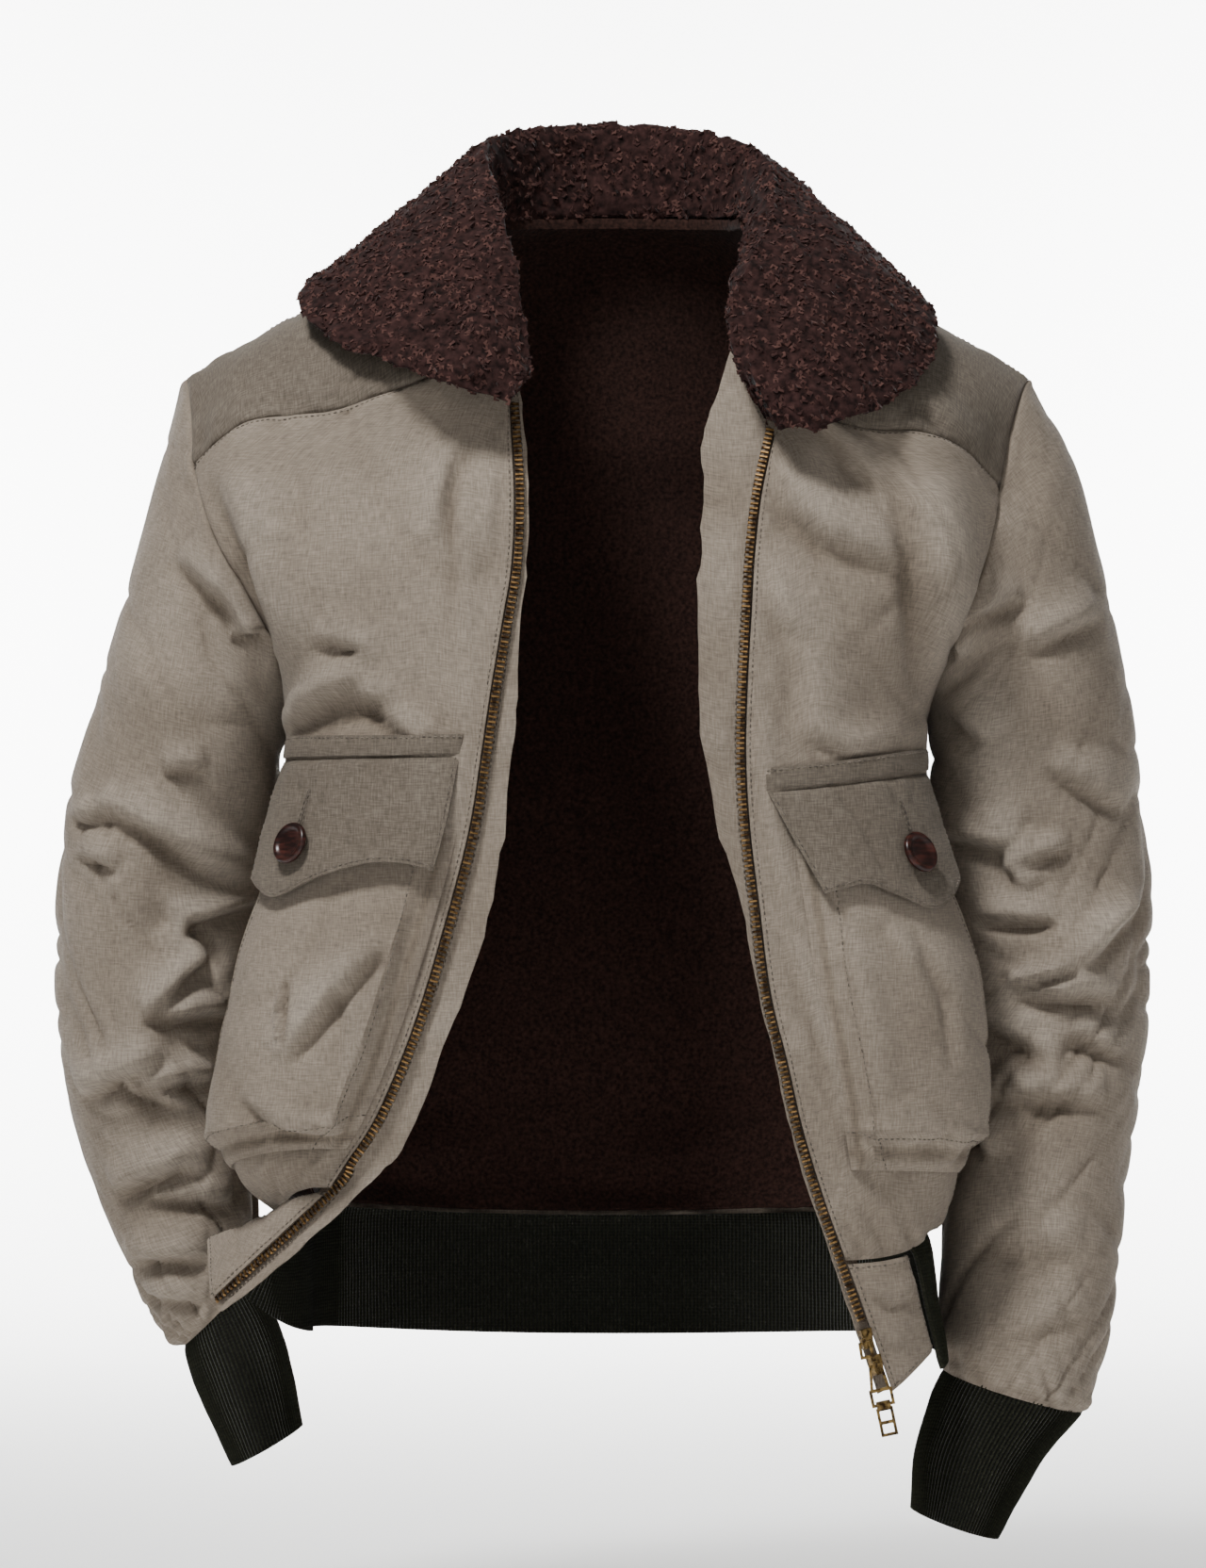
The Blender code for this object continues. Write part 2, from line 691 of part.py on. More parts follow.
def build_front_edges(group):
    """Facing and zip tape inside each front edge. The bead along the tape is its teeth."""
    for side, word in SIDES.items():
        rows = np.array(BODY_V + EDGE_ROWS)
        line, across, normals = edge_frame(side, rows)
        reach = np.interp(rows, np.arange(14), FACING_WIDTH[side])
        shares = (None, 0.0, 0.5, 1.0)
        columns = []
        for share in shares:
            columns.append(line - 1.5 * across if share is None else line + (share * reach)[:, None] * across)
        grid = np.stack(columns, axis=1)
        near, far = (grid - depth * normals[:, None] for depth in FACING_DEPTH)
        add_shell(f"facing_{word}", near, far, CLOTH, group)
        for values in (line, across, normals):
            values[0] += TAPE_TOP_SHARE * (values[1] - values[0])
        near, far = TAPE_DEPTH
        raised = np.where(rows > TEETH_END[side], -near, TEETH_RISE)[:, None]
        columns = (
            line - 1.5 * across - near * normals,
            line + 0.5 * across - near * normals,
            line + 0.9 * across + raised * normals,
            line + 5.4 * across + raised * normals,
        )
        back = [line + s * across - far * normals for s in (-1.5, 0.5, 0.9, 5.4)]
        add_shell(f"zip_tape_{word}", np.stack(columns, 1), np.stack(back, 1), BRASS, group)


def hem_at(side, t):
    return front_at(side, [12.0], t)[0]


def build_hem(cloth, knit):
    """Cloth tabs at the front ends, and the knit waistband round from one to the other."""
    path, drop = [], []
    for side, word in SIDES.items():
        share, *corners = TABS[side]
        t = np.linspace(0, share, 4)
        top = hem_at(side, t)
        front, back = np.array(corners[:3]) * [side, 1, 1], np.array(corners[3:]) * [side, 1, 1]
        low = front + (t / share)[:, None] * (back - front)
        bulge = np.array([0, -5, 0]) * np.sin(np.pi * t / share)[:, None]
        low = low + bulge
        rows = np.linspace(0.02, 1, 4)[:, None, None]
        grid = top + rows * (low - top)
        normals = away_from(grid_normals(grid), grid, (0, 0, -570))
        outer, inner = inset(grid, TAB_GAP), inset(grid - WALL * normals, TAB_GAP)
        add_shell(f"tab_{word}", outer, inner, CLOTH, cloth)
        table = np.array(BAND_DROP[side], float)
        t = np.array([share + 0.04, 0.62, 0.75, 0.88, 1.0])
        part = hem_at(side, t)
        fall = hermite(t, table[:, 0], table[:, 1:]) * [side, 1, 1]
        part_t = [0.83, 0.66, 0.5, 0.35, 0.18]
        back_part = back_half(side, [12.0], part_t)[0]
        side_fall, back_fall = fall[-1], np.array(BACK_DROP, float)
        mix = np.array(part_t)[:, None]
        fall = np.concatenate([fall, back_fall + mix**2 * (side_fall - back_fall)])
        part = np.concatenate([part, back_part])
        path.append(part if side < 0 else part[::-1])
        drop.append(fall if side < 0 else fall[::-1])
    middle = back_half(1, [12.0], [0.0])[0]
    path = np.concatenate([path[0], middle, path[1]])
    drop = np.concatenate([drop[0], [BACK_DROP], drop[1]])
    grid = path + np.array([0.03, 0.5, 1.0])[:, None, None] * drop
    normals = away_from(grid_normals(grid), grid, (0, 0, -580))
    outer, inner = inset(grid, TAB_GAP), inset(grid - 3.0 * normals, TAB_GAP)
    add_shell("waistband", outer, inner, KNIT, knit)


def neckline():
    """The neck seam at each row of the collar table."""
    halves = {}
    for side in SIDES:
        top = np.array(FRONT_TOP[side], float)[[0, 2], 1:] * [side, 1, 1]
        over = yoke_front_at(side, [0.5], [NECK_U])[0]
        back = yoke_back_top(side, NECK_SHARE * np.array([1.0, 0.6, 0.28, 0.0]))
        halves[side] = np.concatenate([top, over, back])
    return np.concatenate([halves[-1], halves[1][-2::-1]])


def collar_section(neck, row):
    """Closed section of the fur at one place: up the stand, over the roll, down the fall."""
    roll, edge = row[:3], row[3:]
    up = (roll - neck) / np.linalg.norm(roll - neck)
    inward = np.array([0.0, -12.0, neck[2]]) - neck
    inward -= up * inward.dot(up)
    inward /= np.linalg.norm(inward)
    fall = np.linalg.norm(edge - roll)
    neck = neck + COLLAR_INSET * inward + max(COLLAR_RISE, 7 - fall / 6) * up
    down = (edge - roll) / fall
    out = up - inward
    out -= down * out.dot(down)
    out /= np.linalg.norm(out)
    size = min(1.0, fall / 55)
    return np.array(
        [
            neck + 1.0 * up + 3.5 * size * inward,
            (neck + roll) / 2 + 5 * size * inward,
            roll - 9 * size * up + 6 * size * inward,
            roll + 1 * size * up + 2 * size * inward,
            roll + 0 * size * up - 6 * size * inward,
            roll + 0.35 * fall * down + 7 * size * out,
            roll + 0.75 * fall * down + 7 * size * out,
            edge + 4 * size * out + 2 * size * down,
            edge - 3 * size * out,
            roll + 0.6 * fall * down - 4 * size * out,
            roll + 0.25 * fall * down - 4.5 * size * out,
            neck + 0.45 * (roll - neck) - 4 * size * inward,
            neck + 1.0 * up - 3.5 * size * inward,
        ]
    )


def build_collar(group):
    knots, stations = np.arange(len(COLLAR)), np.linspace(0, len(COLLAR) - 1, 25)
    necks, rows = hermite(stations, knots, neckline()), hermite(stations, knots, COLLAR)
    grid = np.array([collar_section(neck, row) for neck, row in zip(necks, rows)])
    rows, columns = grid.shape[:2]
    faces = []
    for i in range(rows - 1):
        for j in range(columns):
            k = (j + 1) % columns
            faces.append((i * columns + j, i * columns + k, (i + 1) * columns + k, (i + 1) * columns + j))
    faces.append(tuple(reversed(range(columns))))
    faces.append(tuple((rows - 1) * columns + j for j in range(columns)))
    add_object("collar", grid.reshape(-1, 3), faces, FUR, group)


class FacetedFront:
    """A front as built, flat between its grid points, to lay other pieces on."""

    def __init__(self, side, piece):
        self.side = side
        self.grid, self.normals = piece

    def _read(self, values, v, u):
        v, u = np.broadcast_arrays(np.asarray(v, float), np.asarray(u, float))
        result = np.empty(v.shape + (3,))
        for axis in range(3):
            at_u = np.array([np.interp(u.ravel(), FRONT_U, row) for row in values[:, :, axis]])
            place = np.interp(v.ravel(), BODY_V, np.arange(len(BODY_V)))
            low = np.clip(place.astype(int), 0, len(BODY_V) - 2)
            part = place - low
            picked = np.arange(v.size)
            mixed = (1 - part) * at_u[low, picked] + part * at_u[low + 1, picked]
            result[..., axis] = mixed.reshape(v.shape)
        return result

    def at(self, v, u, lift):
        normals = self._read(self.normals, v, u)
        normals /= np.linalg.norm(normals, axis=-1, keepdims=True)
        return self._read(self.grid, v, u) + np.asarray(lift)[..., None] * normals


def build_pocket(front, word, group):
    """A bellows pocket: its walls stand on the front, and its top is open under the flap."""
    u, v = np.meshgrid(POCKET_U[front.side], POCKET_V)
    base, opening, full = POCKET_LIFT
    down = np.clip((v - POCKET_V[0]) / 1.9, 0, 1)
    lift = opening + (full - opening) * down**2 * (3 - 2 * down)
    lift[-1] = base
    lift[-2] *= 0.75
    lift[:, 0] = lift[:, -1] = base
    lift[:, 1] *= 0.7
    lift[:, -2] *= 0.7
    grid = front.at(v, u, lift)
    normals = away_from(grid_normals(grid), grid, (0, 0, -430))
    add_shell(f"pocket_{word}", grid, grid - 1.4 * normals, CLOTH, group)


def build_flap(front, word, group):
    """The flap and the narrow strip over its top edge."""
    table = np.array(FLAPS[front.side])
    rows = np.array([0.02, 0.25, 0.5, 0.75, 1.0])
    u = table[:, 0] + rows[:, None] * (table[:, 2] - table[:, 0])
    v = table[:, 1] + rows[:, None] * (table[:, 3] - table[:, 1])
    low, high = FLAP_LIFT
    lift = low + (high - low) * rows[:, None] ** 1.1 + 0 * u
    grid = front.at(v, u, lift + 1.8)
    normals = away_from(grid_normals(grid), grid, (0, 0, -350))
    add_shell(f"flap_{word}", grid, grid - WALL * normals, DARK_CLOTH, group)
    rows = np.array([-1.0, 0.0])
    v = table[:, 1] + rows[:, None] * WELT_ROWS
    u = table[:, 0] + 0 * v
    grid = front.at(v, u, 0 * u + 2.8)
    normals = away_from(grid_normals(grid), grid, (0, 0, -350))
    add_shell(f"welt_{word}", grid, grid - 1.4 * normals, DARK_CLOTH, group)


def turned(middle, axis, profile, steps=24):
    """Points of a half profile of (radius, height) turned about an axis."""
    side = np.cross(axis, (0, 0, 1))
    side /= np.linalg.norm(side)
    up = np.cross(side, axis)
    angles = np.arange(steps) * 2 * np.pi / steps
    around = np.cos(angles)[:, None] * side + np.sin(angles)[:, None] * up
    points, faces = [middle + profile[0][1] * axis], []
    for radius, height in profile[1:-1]:
        points += list(middle + radius * around + height * axis)
    points.append(middle + profile[-1][1] * axis)
    last = len(points) - 1
    for j in range(steps):
        k = (j + 1) % steps
        faces.append((0, 1 + k, 1 + j))
        for i in range(len(profile) - 3):
            a, b = 1 + i * steps, 1 + (i + 1) * steps
            faces.append((a + j, a + k, b + k, b + j))
        faces.append((last - steps + j, last - steps + k, last))
    return points, faces


def build_button(front, word, group):
    u, v, lift = BUTTONS[front.side]
    spots = front.at([v, v, v - 0.1, v + 0.1], [u - 0.03, u + 0.03, u, u], [lift] * 2 + [lift - 1, lift + 1])
    axis = np.cross(spots[1] - spots[0], spots[3] - spots[2])
    axis /= np.linalg.norm(axis) * np.sign(-axis[1])
    middle = spots.mean(axis=0)
    profile = [(share * BUTTON_RADIUS, height) for share, height in BUTTON_PROFILE]
    points, faces = turned(middle, axis, profile)
    add_object(f"button_{word}", points, faces, HORN, group)


class PullFrame:
    """Axes of the hanging pulls: along the hinge, down the pull and towards the front."""

    def __init__(self, hinge):
        lean = np.radians(PULL_LEAN)
        self.hinge = np.array(hinge, float)
        self.along = np.array([np.cos(lean), 0, np.sin(lean)])
        self.down = np.array([np.sin(lean), 0, -np.cos(lean)])
        self.front = np.array([0.0, -1.0, 0.0])

    def at(self, along, down, front):
        return self.hinge + along * self.along + down * self.down + front * self.front

    def box(self, along, down, front):
        """Corners of a box between the given pairs of limits."""
        points = [self.at(a, d, f) for f in front for d in down for a in along]
        faces = [(0, 1, 3, 2), (4, 6, 7, 5), (0, 4, 5, 1), (2, 3, 7, 6), (0, 2, 6, 4), (1, 5, 7, 3)]
        return points, faces

    def ring(self, half_top, top, half_bottom, bottom, bar, thick):
        """A flat ring with straight sides: its outline, its window and its thickness."""
        outer = ((-half_top, top), (half_top, top), (half_bottom, bottom), (-half_bottom, bottom))
        slope = (half_bottom - half_top) / (bottom - top)
        inside_top, inside_bottom = half_top - bar + slope * bar, half_bottom - bar - slope * bar
        inner = (
            (-inside_top, top + bar),
            (inside_top, top + bar),
            (inside_bottom, bottom - bar),
            (-inside_bottom, bottom - bar),
        )
        points = []
        for front, outline in ((thick, outer), (thick, inner), (-thick, inner), (-thick, outer)):
            points += [self.at(a, d, front) for a, d in outline]
        faces = []
        for loop in range(4):
            for j in range(4):
                k, after = (j + 1) % 4, (loop + 1) % 4
                faces.append((loop * 4 + j, loop * 4 + k, after * 4 + k, after * 4 + j))
        return points, faces


def joined(name, shapes, colour, group):
    """One object from overlapping closed shapes."""
    first = add_object(name, *shapes[0], colour, group)
    for number, (points, faces) in enumerate(shapes[1:]):
        other = add_object(f"{name}_cutter_{number}", points, faces, colour, group)
        other.hide_render = True
        other.hide_viewport = True
        union = first.modifiers.new("union", "BOOLEAN")
        union.operation, union.solver, union.object = "UNION", "EXACT", other
    return first


def build_slider(name, group):
    """A slider on the tape with the bail that its pull hangs from."""
    row, hinge = SLIDERS[name]
    line, across, normal = (part[0] for part in edge_frame(1, [row]))
    along = np.cross(across, normal)
    middle = line + 4.4 * across
    half_width, half_length, base = SLIDER_PLATE
    frame = PullFrame(hinge)
    points = []
    for height in (base - TAPE_DEPTH[0], 2.2):
        for end in (-1, 1):
            for side in (-1, 1):
                width = half_width * (1.0 if end * along[2] > 0 else 0.72)
                points.append(middle + side * width * across + end * half_length * along + height * normal)
    plate = points, [(0, 1, 3, 2), (4, 6, 7, 5), (0, 4, 5, 1), (2, 3, 7, 6), (0, 2, 6, 4), (1, 5, 7, 3)]
    hole, front = BAIL_HOLE
    reach = hole / 2 + BAIL_METAL
    width = (-BAIL_WIDTH / 2, BAIL_WIDTH / 2)
    shapes = [
        plate,
        frame.box(width, (-reach, -hole / 2), (-4.6, front + BAIL_METAL)),
        frame.box(width, (hole / 2, reach), (-4.6, front + BAIL_METAL)),
        frame.box(width, (-reach + 0.2, reach - 0.2), (front, front + BAIL_METAL - 0.1)),
    ]
    return joined(name, shapes, BRASS, group)


def build_pulls(group):
    upper = PullFrame(SLIDERS["slider_upper"][1])
    lower = PullFrame(SLIDERS["slider_lower"][1])
    thick = BAR_HALF[1]
    joined("pull_short", [upper.ring(*row, thick) for row in SHORT_PULL], BRASS, group)
    joined("pull_link", [lower.ring(*row, thick) for row in PULL_LINK], BRASS, group)
    half, outer, inner = TAB_TUBE
    points = []
    for end, size in ((half, outer), (half, inner), (-half, inner), (-half, outer)):
        for down, front in ((-1, -1), (1, -1), (1, 1), (-1, 1)):
            points.append(lower.at(end, TAB_HINGE + down * size, front * size))
    faces = []
    for loop in range(4):
        for j in range(4):
            k, after = (j + 1) % 4, (loop + 1) % 4
            faces.append((loop * 4 + j, loop * 4 + k, after * 4 + k, after * 4 + j))
    shapes = [(points, faces)] + [lower.ring(*row, thick) for row in PULL_TAB]
    joined("pull_tab", shapes, BRASS, group)


def main():
    clear_scene()
    cloth, knit = new_group("cloth"), new_group("knit")
    pieces = build_body(cloth)
    build_cuffs(knit)
    build_lining(new_group("lining"), pieces)
    build_front_edges(cloth)
    build_hem(cloth, knit)
    build_collar(new_group("fur"))
    trims = new_group("trims")
    for side, word in SIDES.items():
        front = FacetedFront(side, pieces[f"front_{word}"])
        build_pocket(front, word, cloth)
        build_flap(front, word, cloth)
        build_button(front, word, trims)
    for name in SLIDERS:
        build_slider(name, trims)
    build_pulls(trims)


main()
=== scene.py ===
"""Flight jacket worn open over an empty hollow: its cloth, fur, knit and zip as they look.

Lengths in the tables are millimetres, x counted outward from the middle of the body, y to the
back and z up. Side -1 is the wearer's right and side +1 the wearer's left. The surfaces follow
the same cut as the part's solids, sampled finely enough to carry folds, seams and ribs.
"""

import logging
import math
from dataclasses import dataclass, field
from enum import Enum
from typing import Optional

import bmesh
import bpy
import numpy as np
from bpy.types import Material, Node, NodeSocket, NodeTree, Object
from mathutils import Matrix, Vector


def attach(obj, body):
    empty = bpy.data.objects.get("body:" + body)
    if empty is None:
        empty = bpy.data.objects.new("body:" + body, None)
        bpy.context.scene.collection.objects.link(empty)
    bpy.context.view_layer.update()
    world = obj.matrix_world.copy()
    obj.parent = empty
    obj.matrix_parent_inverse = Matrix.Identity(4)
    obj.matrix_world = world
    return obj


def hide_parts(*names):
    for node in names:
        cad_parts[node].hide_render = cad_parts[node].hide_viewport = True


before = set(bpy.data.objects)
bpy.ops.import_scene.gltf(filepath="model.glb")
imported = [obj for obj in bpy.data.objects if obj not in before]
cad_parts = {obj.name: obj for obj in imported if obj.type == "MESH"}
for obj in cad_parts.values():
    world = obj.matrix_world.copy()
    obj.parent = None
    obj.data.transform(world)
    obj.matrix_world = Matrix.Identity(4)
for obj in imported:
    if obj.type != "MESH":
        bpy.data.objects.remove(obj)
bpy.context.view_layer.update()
LOG = logging.getLogger("jacket")
Array = np.ndarray
Lines = list[tuple[Array, Array]]

MM = 0.001
BODY = "jacket"
SIDES = {-1: "right", 1: "left"}
ROUNDNESS = 0.72
WALL = 1.6
KNIT_WALL = 2.0
SEAM_GAP = 0.3

# Top edge of each front: neckline as far as u = 0.16, yoke seam from there to the armhole.
# u, x, y, z
FRONT_TOP = {
    -1: (
        (0.00, 53, -98, -103),
        (0.08, 56, -91, -86),
        (0.16, 60, -85, -68),
        (0.27, 80, -97, -82),
        (0.39, 103, -105, -94),
        (0.51, 125, -104, -101),
        (0.63, 148, -98, -108),
        (0.75, 170, -92, -110),
        (0.87, 196, -79, -114),
        (1.00, 225, -52, -135),
    ),
    1: (
        (0.00, 90, -100, -117),
        (0.08, 80, -92, -95),
        (0.16, 72, -84, -73),
        (0.27, 90, -96, -92),
        (0.39, 110, -104, -108),
        (0.51, 128, -105, -116),
        (0.63, 146, -103, -119),
        (0.75, 168, -95, -120),
        (0.87, 192, -78, -128),
        (1.00, 214, -52, -146),
    ),
}

# Sections of each front below that, from the zip edge round the corner to the side.
# Rows 1 to 3 end on the armhole, row 4 at the armpit, row 12 on the hem seam.
# x_edge, y_edge, z_edge, x_corner, y_corner, x_side, y_side, z_side
FRONT_ROWS = {
    -1: (
        (50, -113, -150, 160, -116, 215, -66, -167),
        (51, -121, -190, 168, -122, 197, -66, -201),
        (56, -127, -222, 170, -122, 181, -50, -231),
        (62, -132, -258, 180, -116, 176, 0, -261),
        (67, -134, -292, 198, -118, 171, 2, -300),
        (73, -135, -330, 206, -118, 171, 4, -338),
        (83, -135, -370, 212, -116, 172, 4, -378),
        (97, -132, -418, 226, -112, 174, 4, -428),
        (109, -128, -452, 240, -108, 174, 4, -468),
        (124, -122, -486, 244, -104, 174, 2, -505),
        (139, -118, -509, 229, -108, 172, 0, -530),
        (148, -112, -523, 187, -95, 167, -2, -545),
    ),
    1: (
        (82, -112, -152, 168, -118, 209, -66, -172),
        (78, -120, -185, 172, -124, 199, -68, -199),
        (76, -127, -218, 174, -124, 187, -50, -225),
        (74, -131, -254, 182, -120, 178, 0, -261),
        (73, -134, -292, 188, -122, 172, 2, -298),
        (75, -135, -330, 196, -124, 172, 4, -336),
        (80, -135, -372, 208, -126, 174, 4, -376),
        (86, -134, -418, 220, -128, 175, 4, -420),
        (95, -133, -455, 225, -128, 175, 2, -460),
        (103, -131, -490, 222, -126, 175, 0, -498),
        (114, -128, -526, 209, -122, 173, -4, -530),
        (126, -126, -560, 189, -116, 167, -8, -548),
    ),
}

# Armhole down the back, from the yoke seam towards the armpit. x, y, z
BACK_ARMHOLE = {
    -1: ((228, 54, -128), (216, 72, -165), (200, 74, -200), (183, 54, -232)),
    1: ((220, 54, -132), (212, 72, -168), (201, 74, -200), (187, 54, -228)),
}

# Sections of the back, row by row with the fronts. y_middle, z_middle, x_corner
BACK_ROWS = (
    (108, -112, 165),
    (116, -148, 168),
    (121, -184, 172),
    (124, -220, 172),
    (124, -262, 178),
    (122, -300, 186),
    (120, -340, 188),
    (118, -380, 190),
    (118, -425, 194),
    (118, -465, 196),
    (116, -505, 194),
    (108, -538, 188),
    (98, -556, 180),
)

# Shoulder seam from the neck to the sleeve. x, y, z
SHOULDER = ((80, -12, 2), (120, -9, -18), (160, -4, -41), (199, 0, -63), (234, 2, -83))
BACK_NECK = (0, 62, 12)
# How far the collar stands in from the neck seam, and how far above it.
COLLAR_INSET = 3.6
COLLAR_RISE = -1.6

# Sleeve sections after the armhole: silhouette points outside and inside, middle, depth.
# x_out, z_out, x_in, z_in, y_middle, half_depth
SLEEVE_ROWS = {
    -1: (
        (250, -142, 183, -271, 6, 68),
        (267, -205, 188, -284, 8, 68),
        (283, -257, 194, -304, 12, 66),
        (298, -311, 198, -334, 18, 65),
        (305, -362, 199, -368, 24, 64),
        (307, -414, 202, -407, 30, 64),
        (304, -464, 205, -443, 30, 62),
        (292, -514, 202, -477, 28, 56),
        (275, -556, 196, -515, 24, 48),
        (257, -592, 196, -550, 20, 38),
        (236, -620, 195, -582, 16, 30),
    ),
    1: (
        (256, -126, 185, -270, 6, 68),
        (273, -187, 189, -290, 8, 68),
        (288, -255, 189, -318, 12, 68),
        (296, -322, 191, -345, 16, 67),
        (302, -377, 194, -380, 20, 66),
        (300, -427, 193, -422, 18, 64),
        (295, -479, 189, -474, 8, 62),
        (286, -530, 186, -525, -4, 58),
        (280, -576, 184, -571, -16, 54),
        (271, -618, 181, -606, -28, 49),
        (260, -650, 181, -627, -36, 43),
    ),
}
CUFF_ROWS = {
    -1: ((226, -648, 180, -614, 12, 30), (208, -686, 168, -664, 8, 27)),
    1: ((237, -674, 166, -668, -48, 35), (211, -717, 163, -700, -60, 27)),
}
NECK_U = 0.16
NECK_SHARE = 0.35
# Where the cloth tab at each front end stops along the hem, and its bottom corners.
# hem_share, x_front, y_front, z_front, x_back, y_back, z_back
TABS = {-1: (0.5, 213, -92, -584, 218, -52, -553), 1: (0.35, 151, -122, -630, 175, -98, -610)}
# How the knit waistband drops from the hem, round from each tab. t_front, x, y, z
BAND_DROP = {
    -1: ((0.5, 43, 22, -30), (0.65, 28, 18, -44), (0.82, 10, 8, -58), (1.0, -1, 2, -66)),
    1: ((0.35, 17, 8, -65), (0.55, 12, 4, -67), (0.8, 6, 2, -67), (1.0, 2, 0, -67)),
}
BACK_DROP = (0, -3, -66)
# Width of each facing beyond the zip edge, one for each row of the front and the tab.
FACING_WIDTH = {
    -1: (7, 8, 8, 9, 14, 16, 18, 22, 22, 20, 22, 24, 18, 10),
    1: (38, 32, 29, 28, 26, 22, 17, 9, 6.5, 6.5, 6.5, 6.5, 6.5, 6.5),
}
# How far each facing's free edge leans outward for each millimetre up the neck.
FACING_LEAN = {-1: 0.1, 1: 0.32}

# Collar, round from the wearer's right zip end to the left: its roll and its free edge.
# x_roll, y_roll, z_roll, x_edge, y_edge, z_edge
COLLAR = (
    (-39, -114, -88, -50, -127, -107),
    (-45, -100, -53, -97, -123, -90),
    (-52, -80, -19, -148, -90, -66),
    (-60, -42, 14, -163, -42, -38),
    (-67, 8, 46, -134, 44, -16),
    (-40, 52, 60, -84, 92, -22),
    (2, 66, 64, 0, 112, -28),
    (48, 50, 58, 88, 92, -28),
    (86, 10, 42, 137, 42, -19),
    (91, -42, 8, 173, -52, -51),
    (78, -82, -24, 162, -98, -90),
    (65, -104, -56, 120, -128, -115),
    (68, -116, -84, 90, -129, -121),
)

# Flaps in the u and v of their front: top edge, then the bottom edge with its point.
# u_top, v_top, u_bottom, v_bottom
FLAPS = {
    -1: (
        (0.04, 5.0, 0.04, 6.6),
        (0.12, 5.0, 0.11, 6.5),
        (0.20, 5.0, 0.19, 6.5),
        (0.303, 4.98, 0.30, 6.65),
        (0.446, 4.95, 0.44, 6.9),
        (0.56, 4.92, 0.54, 6.8),
        (0.68, 4.9, 0.64, 6.6),
    ),
    1: (
        (0.04, 5.5, 0.13, 6.85),
        (0.12, 5.45, 0.18, 6.78),
        (0.20, 5.4, 0.24, 6.74),
        (0.303, 5.32, 0.32, 6.88),
        (0.446, 5.22, 0.43, 7.05),
        (0.56, 5.15, 0.53, 6.9),
        (0.70, 5.1, 0.63, 6.65),
    ),
}
FLAP_LIFT = (1.2, 12.6)
WELT_ROWS = 0.3
# Edges of the pockets in the same u, and the heights of their border, opening and front.
POCKET_U = {
    -1: (0.02, 0.035, 0.16, 0.303, 0.446, 0.58, 0.70, 0.7228),
    1: (0.09, 0.105, 0.16, 0.303, 0.446, 0.58, 0.70, 0.7228),
}
POCKET_LIFT = (2.2, 3.8, 14.0)
# Button on each flap: u, v, lift
BUTTONS = {-1: (0.42, 6.2, 11.6), 1: (0.42, 6.35, 11.6)}
BUTTON_RADIUS = 11.5
# The largest folds, as soft ridges and troughs between two places seen from the front.
# x, z, x_end, z_end, width, height
FOLDS = (
    (172, -140, 183, -222, 24, 7),
    (-202, -137, -172, -240, 24, 7),
    (-199, -362, -240, -384, 18, -6),
    (-205, -396, -256, -431, 20, 6),
    (-292, -474, -245, -450, 18, 5),
    (-252, -528, -208, -533, 16, -5),
    (-250, -250, -205, -300, 20, 5),
    (209, -376, 250, -402, 20, 6),
    (250, -402, 292, -372, 20, 6),
    (201, -425, 248, -457, 16, -6),
    (211, -474, 272, -476, 18, 5),
    (240, -293, 287, -317, 16, -5),
    (206, -538, 262, -560, 18, 5),
)
BACK_FOLD_SHARE = 0.6
# A button from its back over its rolled rim to its dished middle: radius as a share, height
BUTTON_RINGS = (
    (0.5, 0.0),
    (0.84, 0.0),
    (0.93, 0.35),
    (0.985, 1.0),
    (1.0, 1.8),
    (0.99, 2.6),
    (0.955, 3.3),
    (0.9, 3.75),
    (0.84, 3.8),
    (0.78, 3.6),
    (0.72, 3.15),
    (0.66, 2.6),
    (0.58, 2.25),
    (0.4, 2.1),
    (0.2, 2.05),
)

# How deep each piece's folds go, against the heights below.
FOLD_DEPTH = {"sleeve": 1.9, "front": 1.8, "back": 2.0, "pocket": 1.4, "yoke": 1.5, "tab": 1.2}
FOLD_WIDTH = 0.92
# Where each sleeve lies against the body: height of the middle, half its length, how far it presses in.
PRESSED = {-1: (-350, 120, 16.0), 1: (-330, 120, 15.0)}
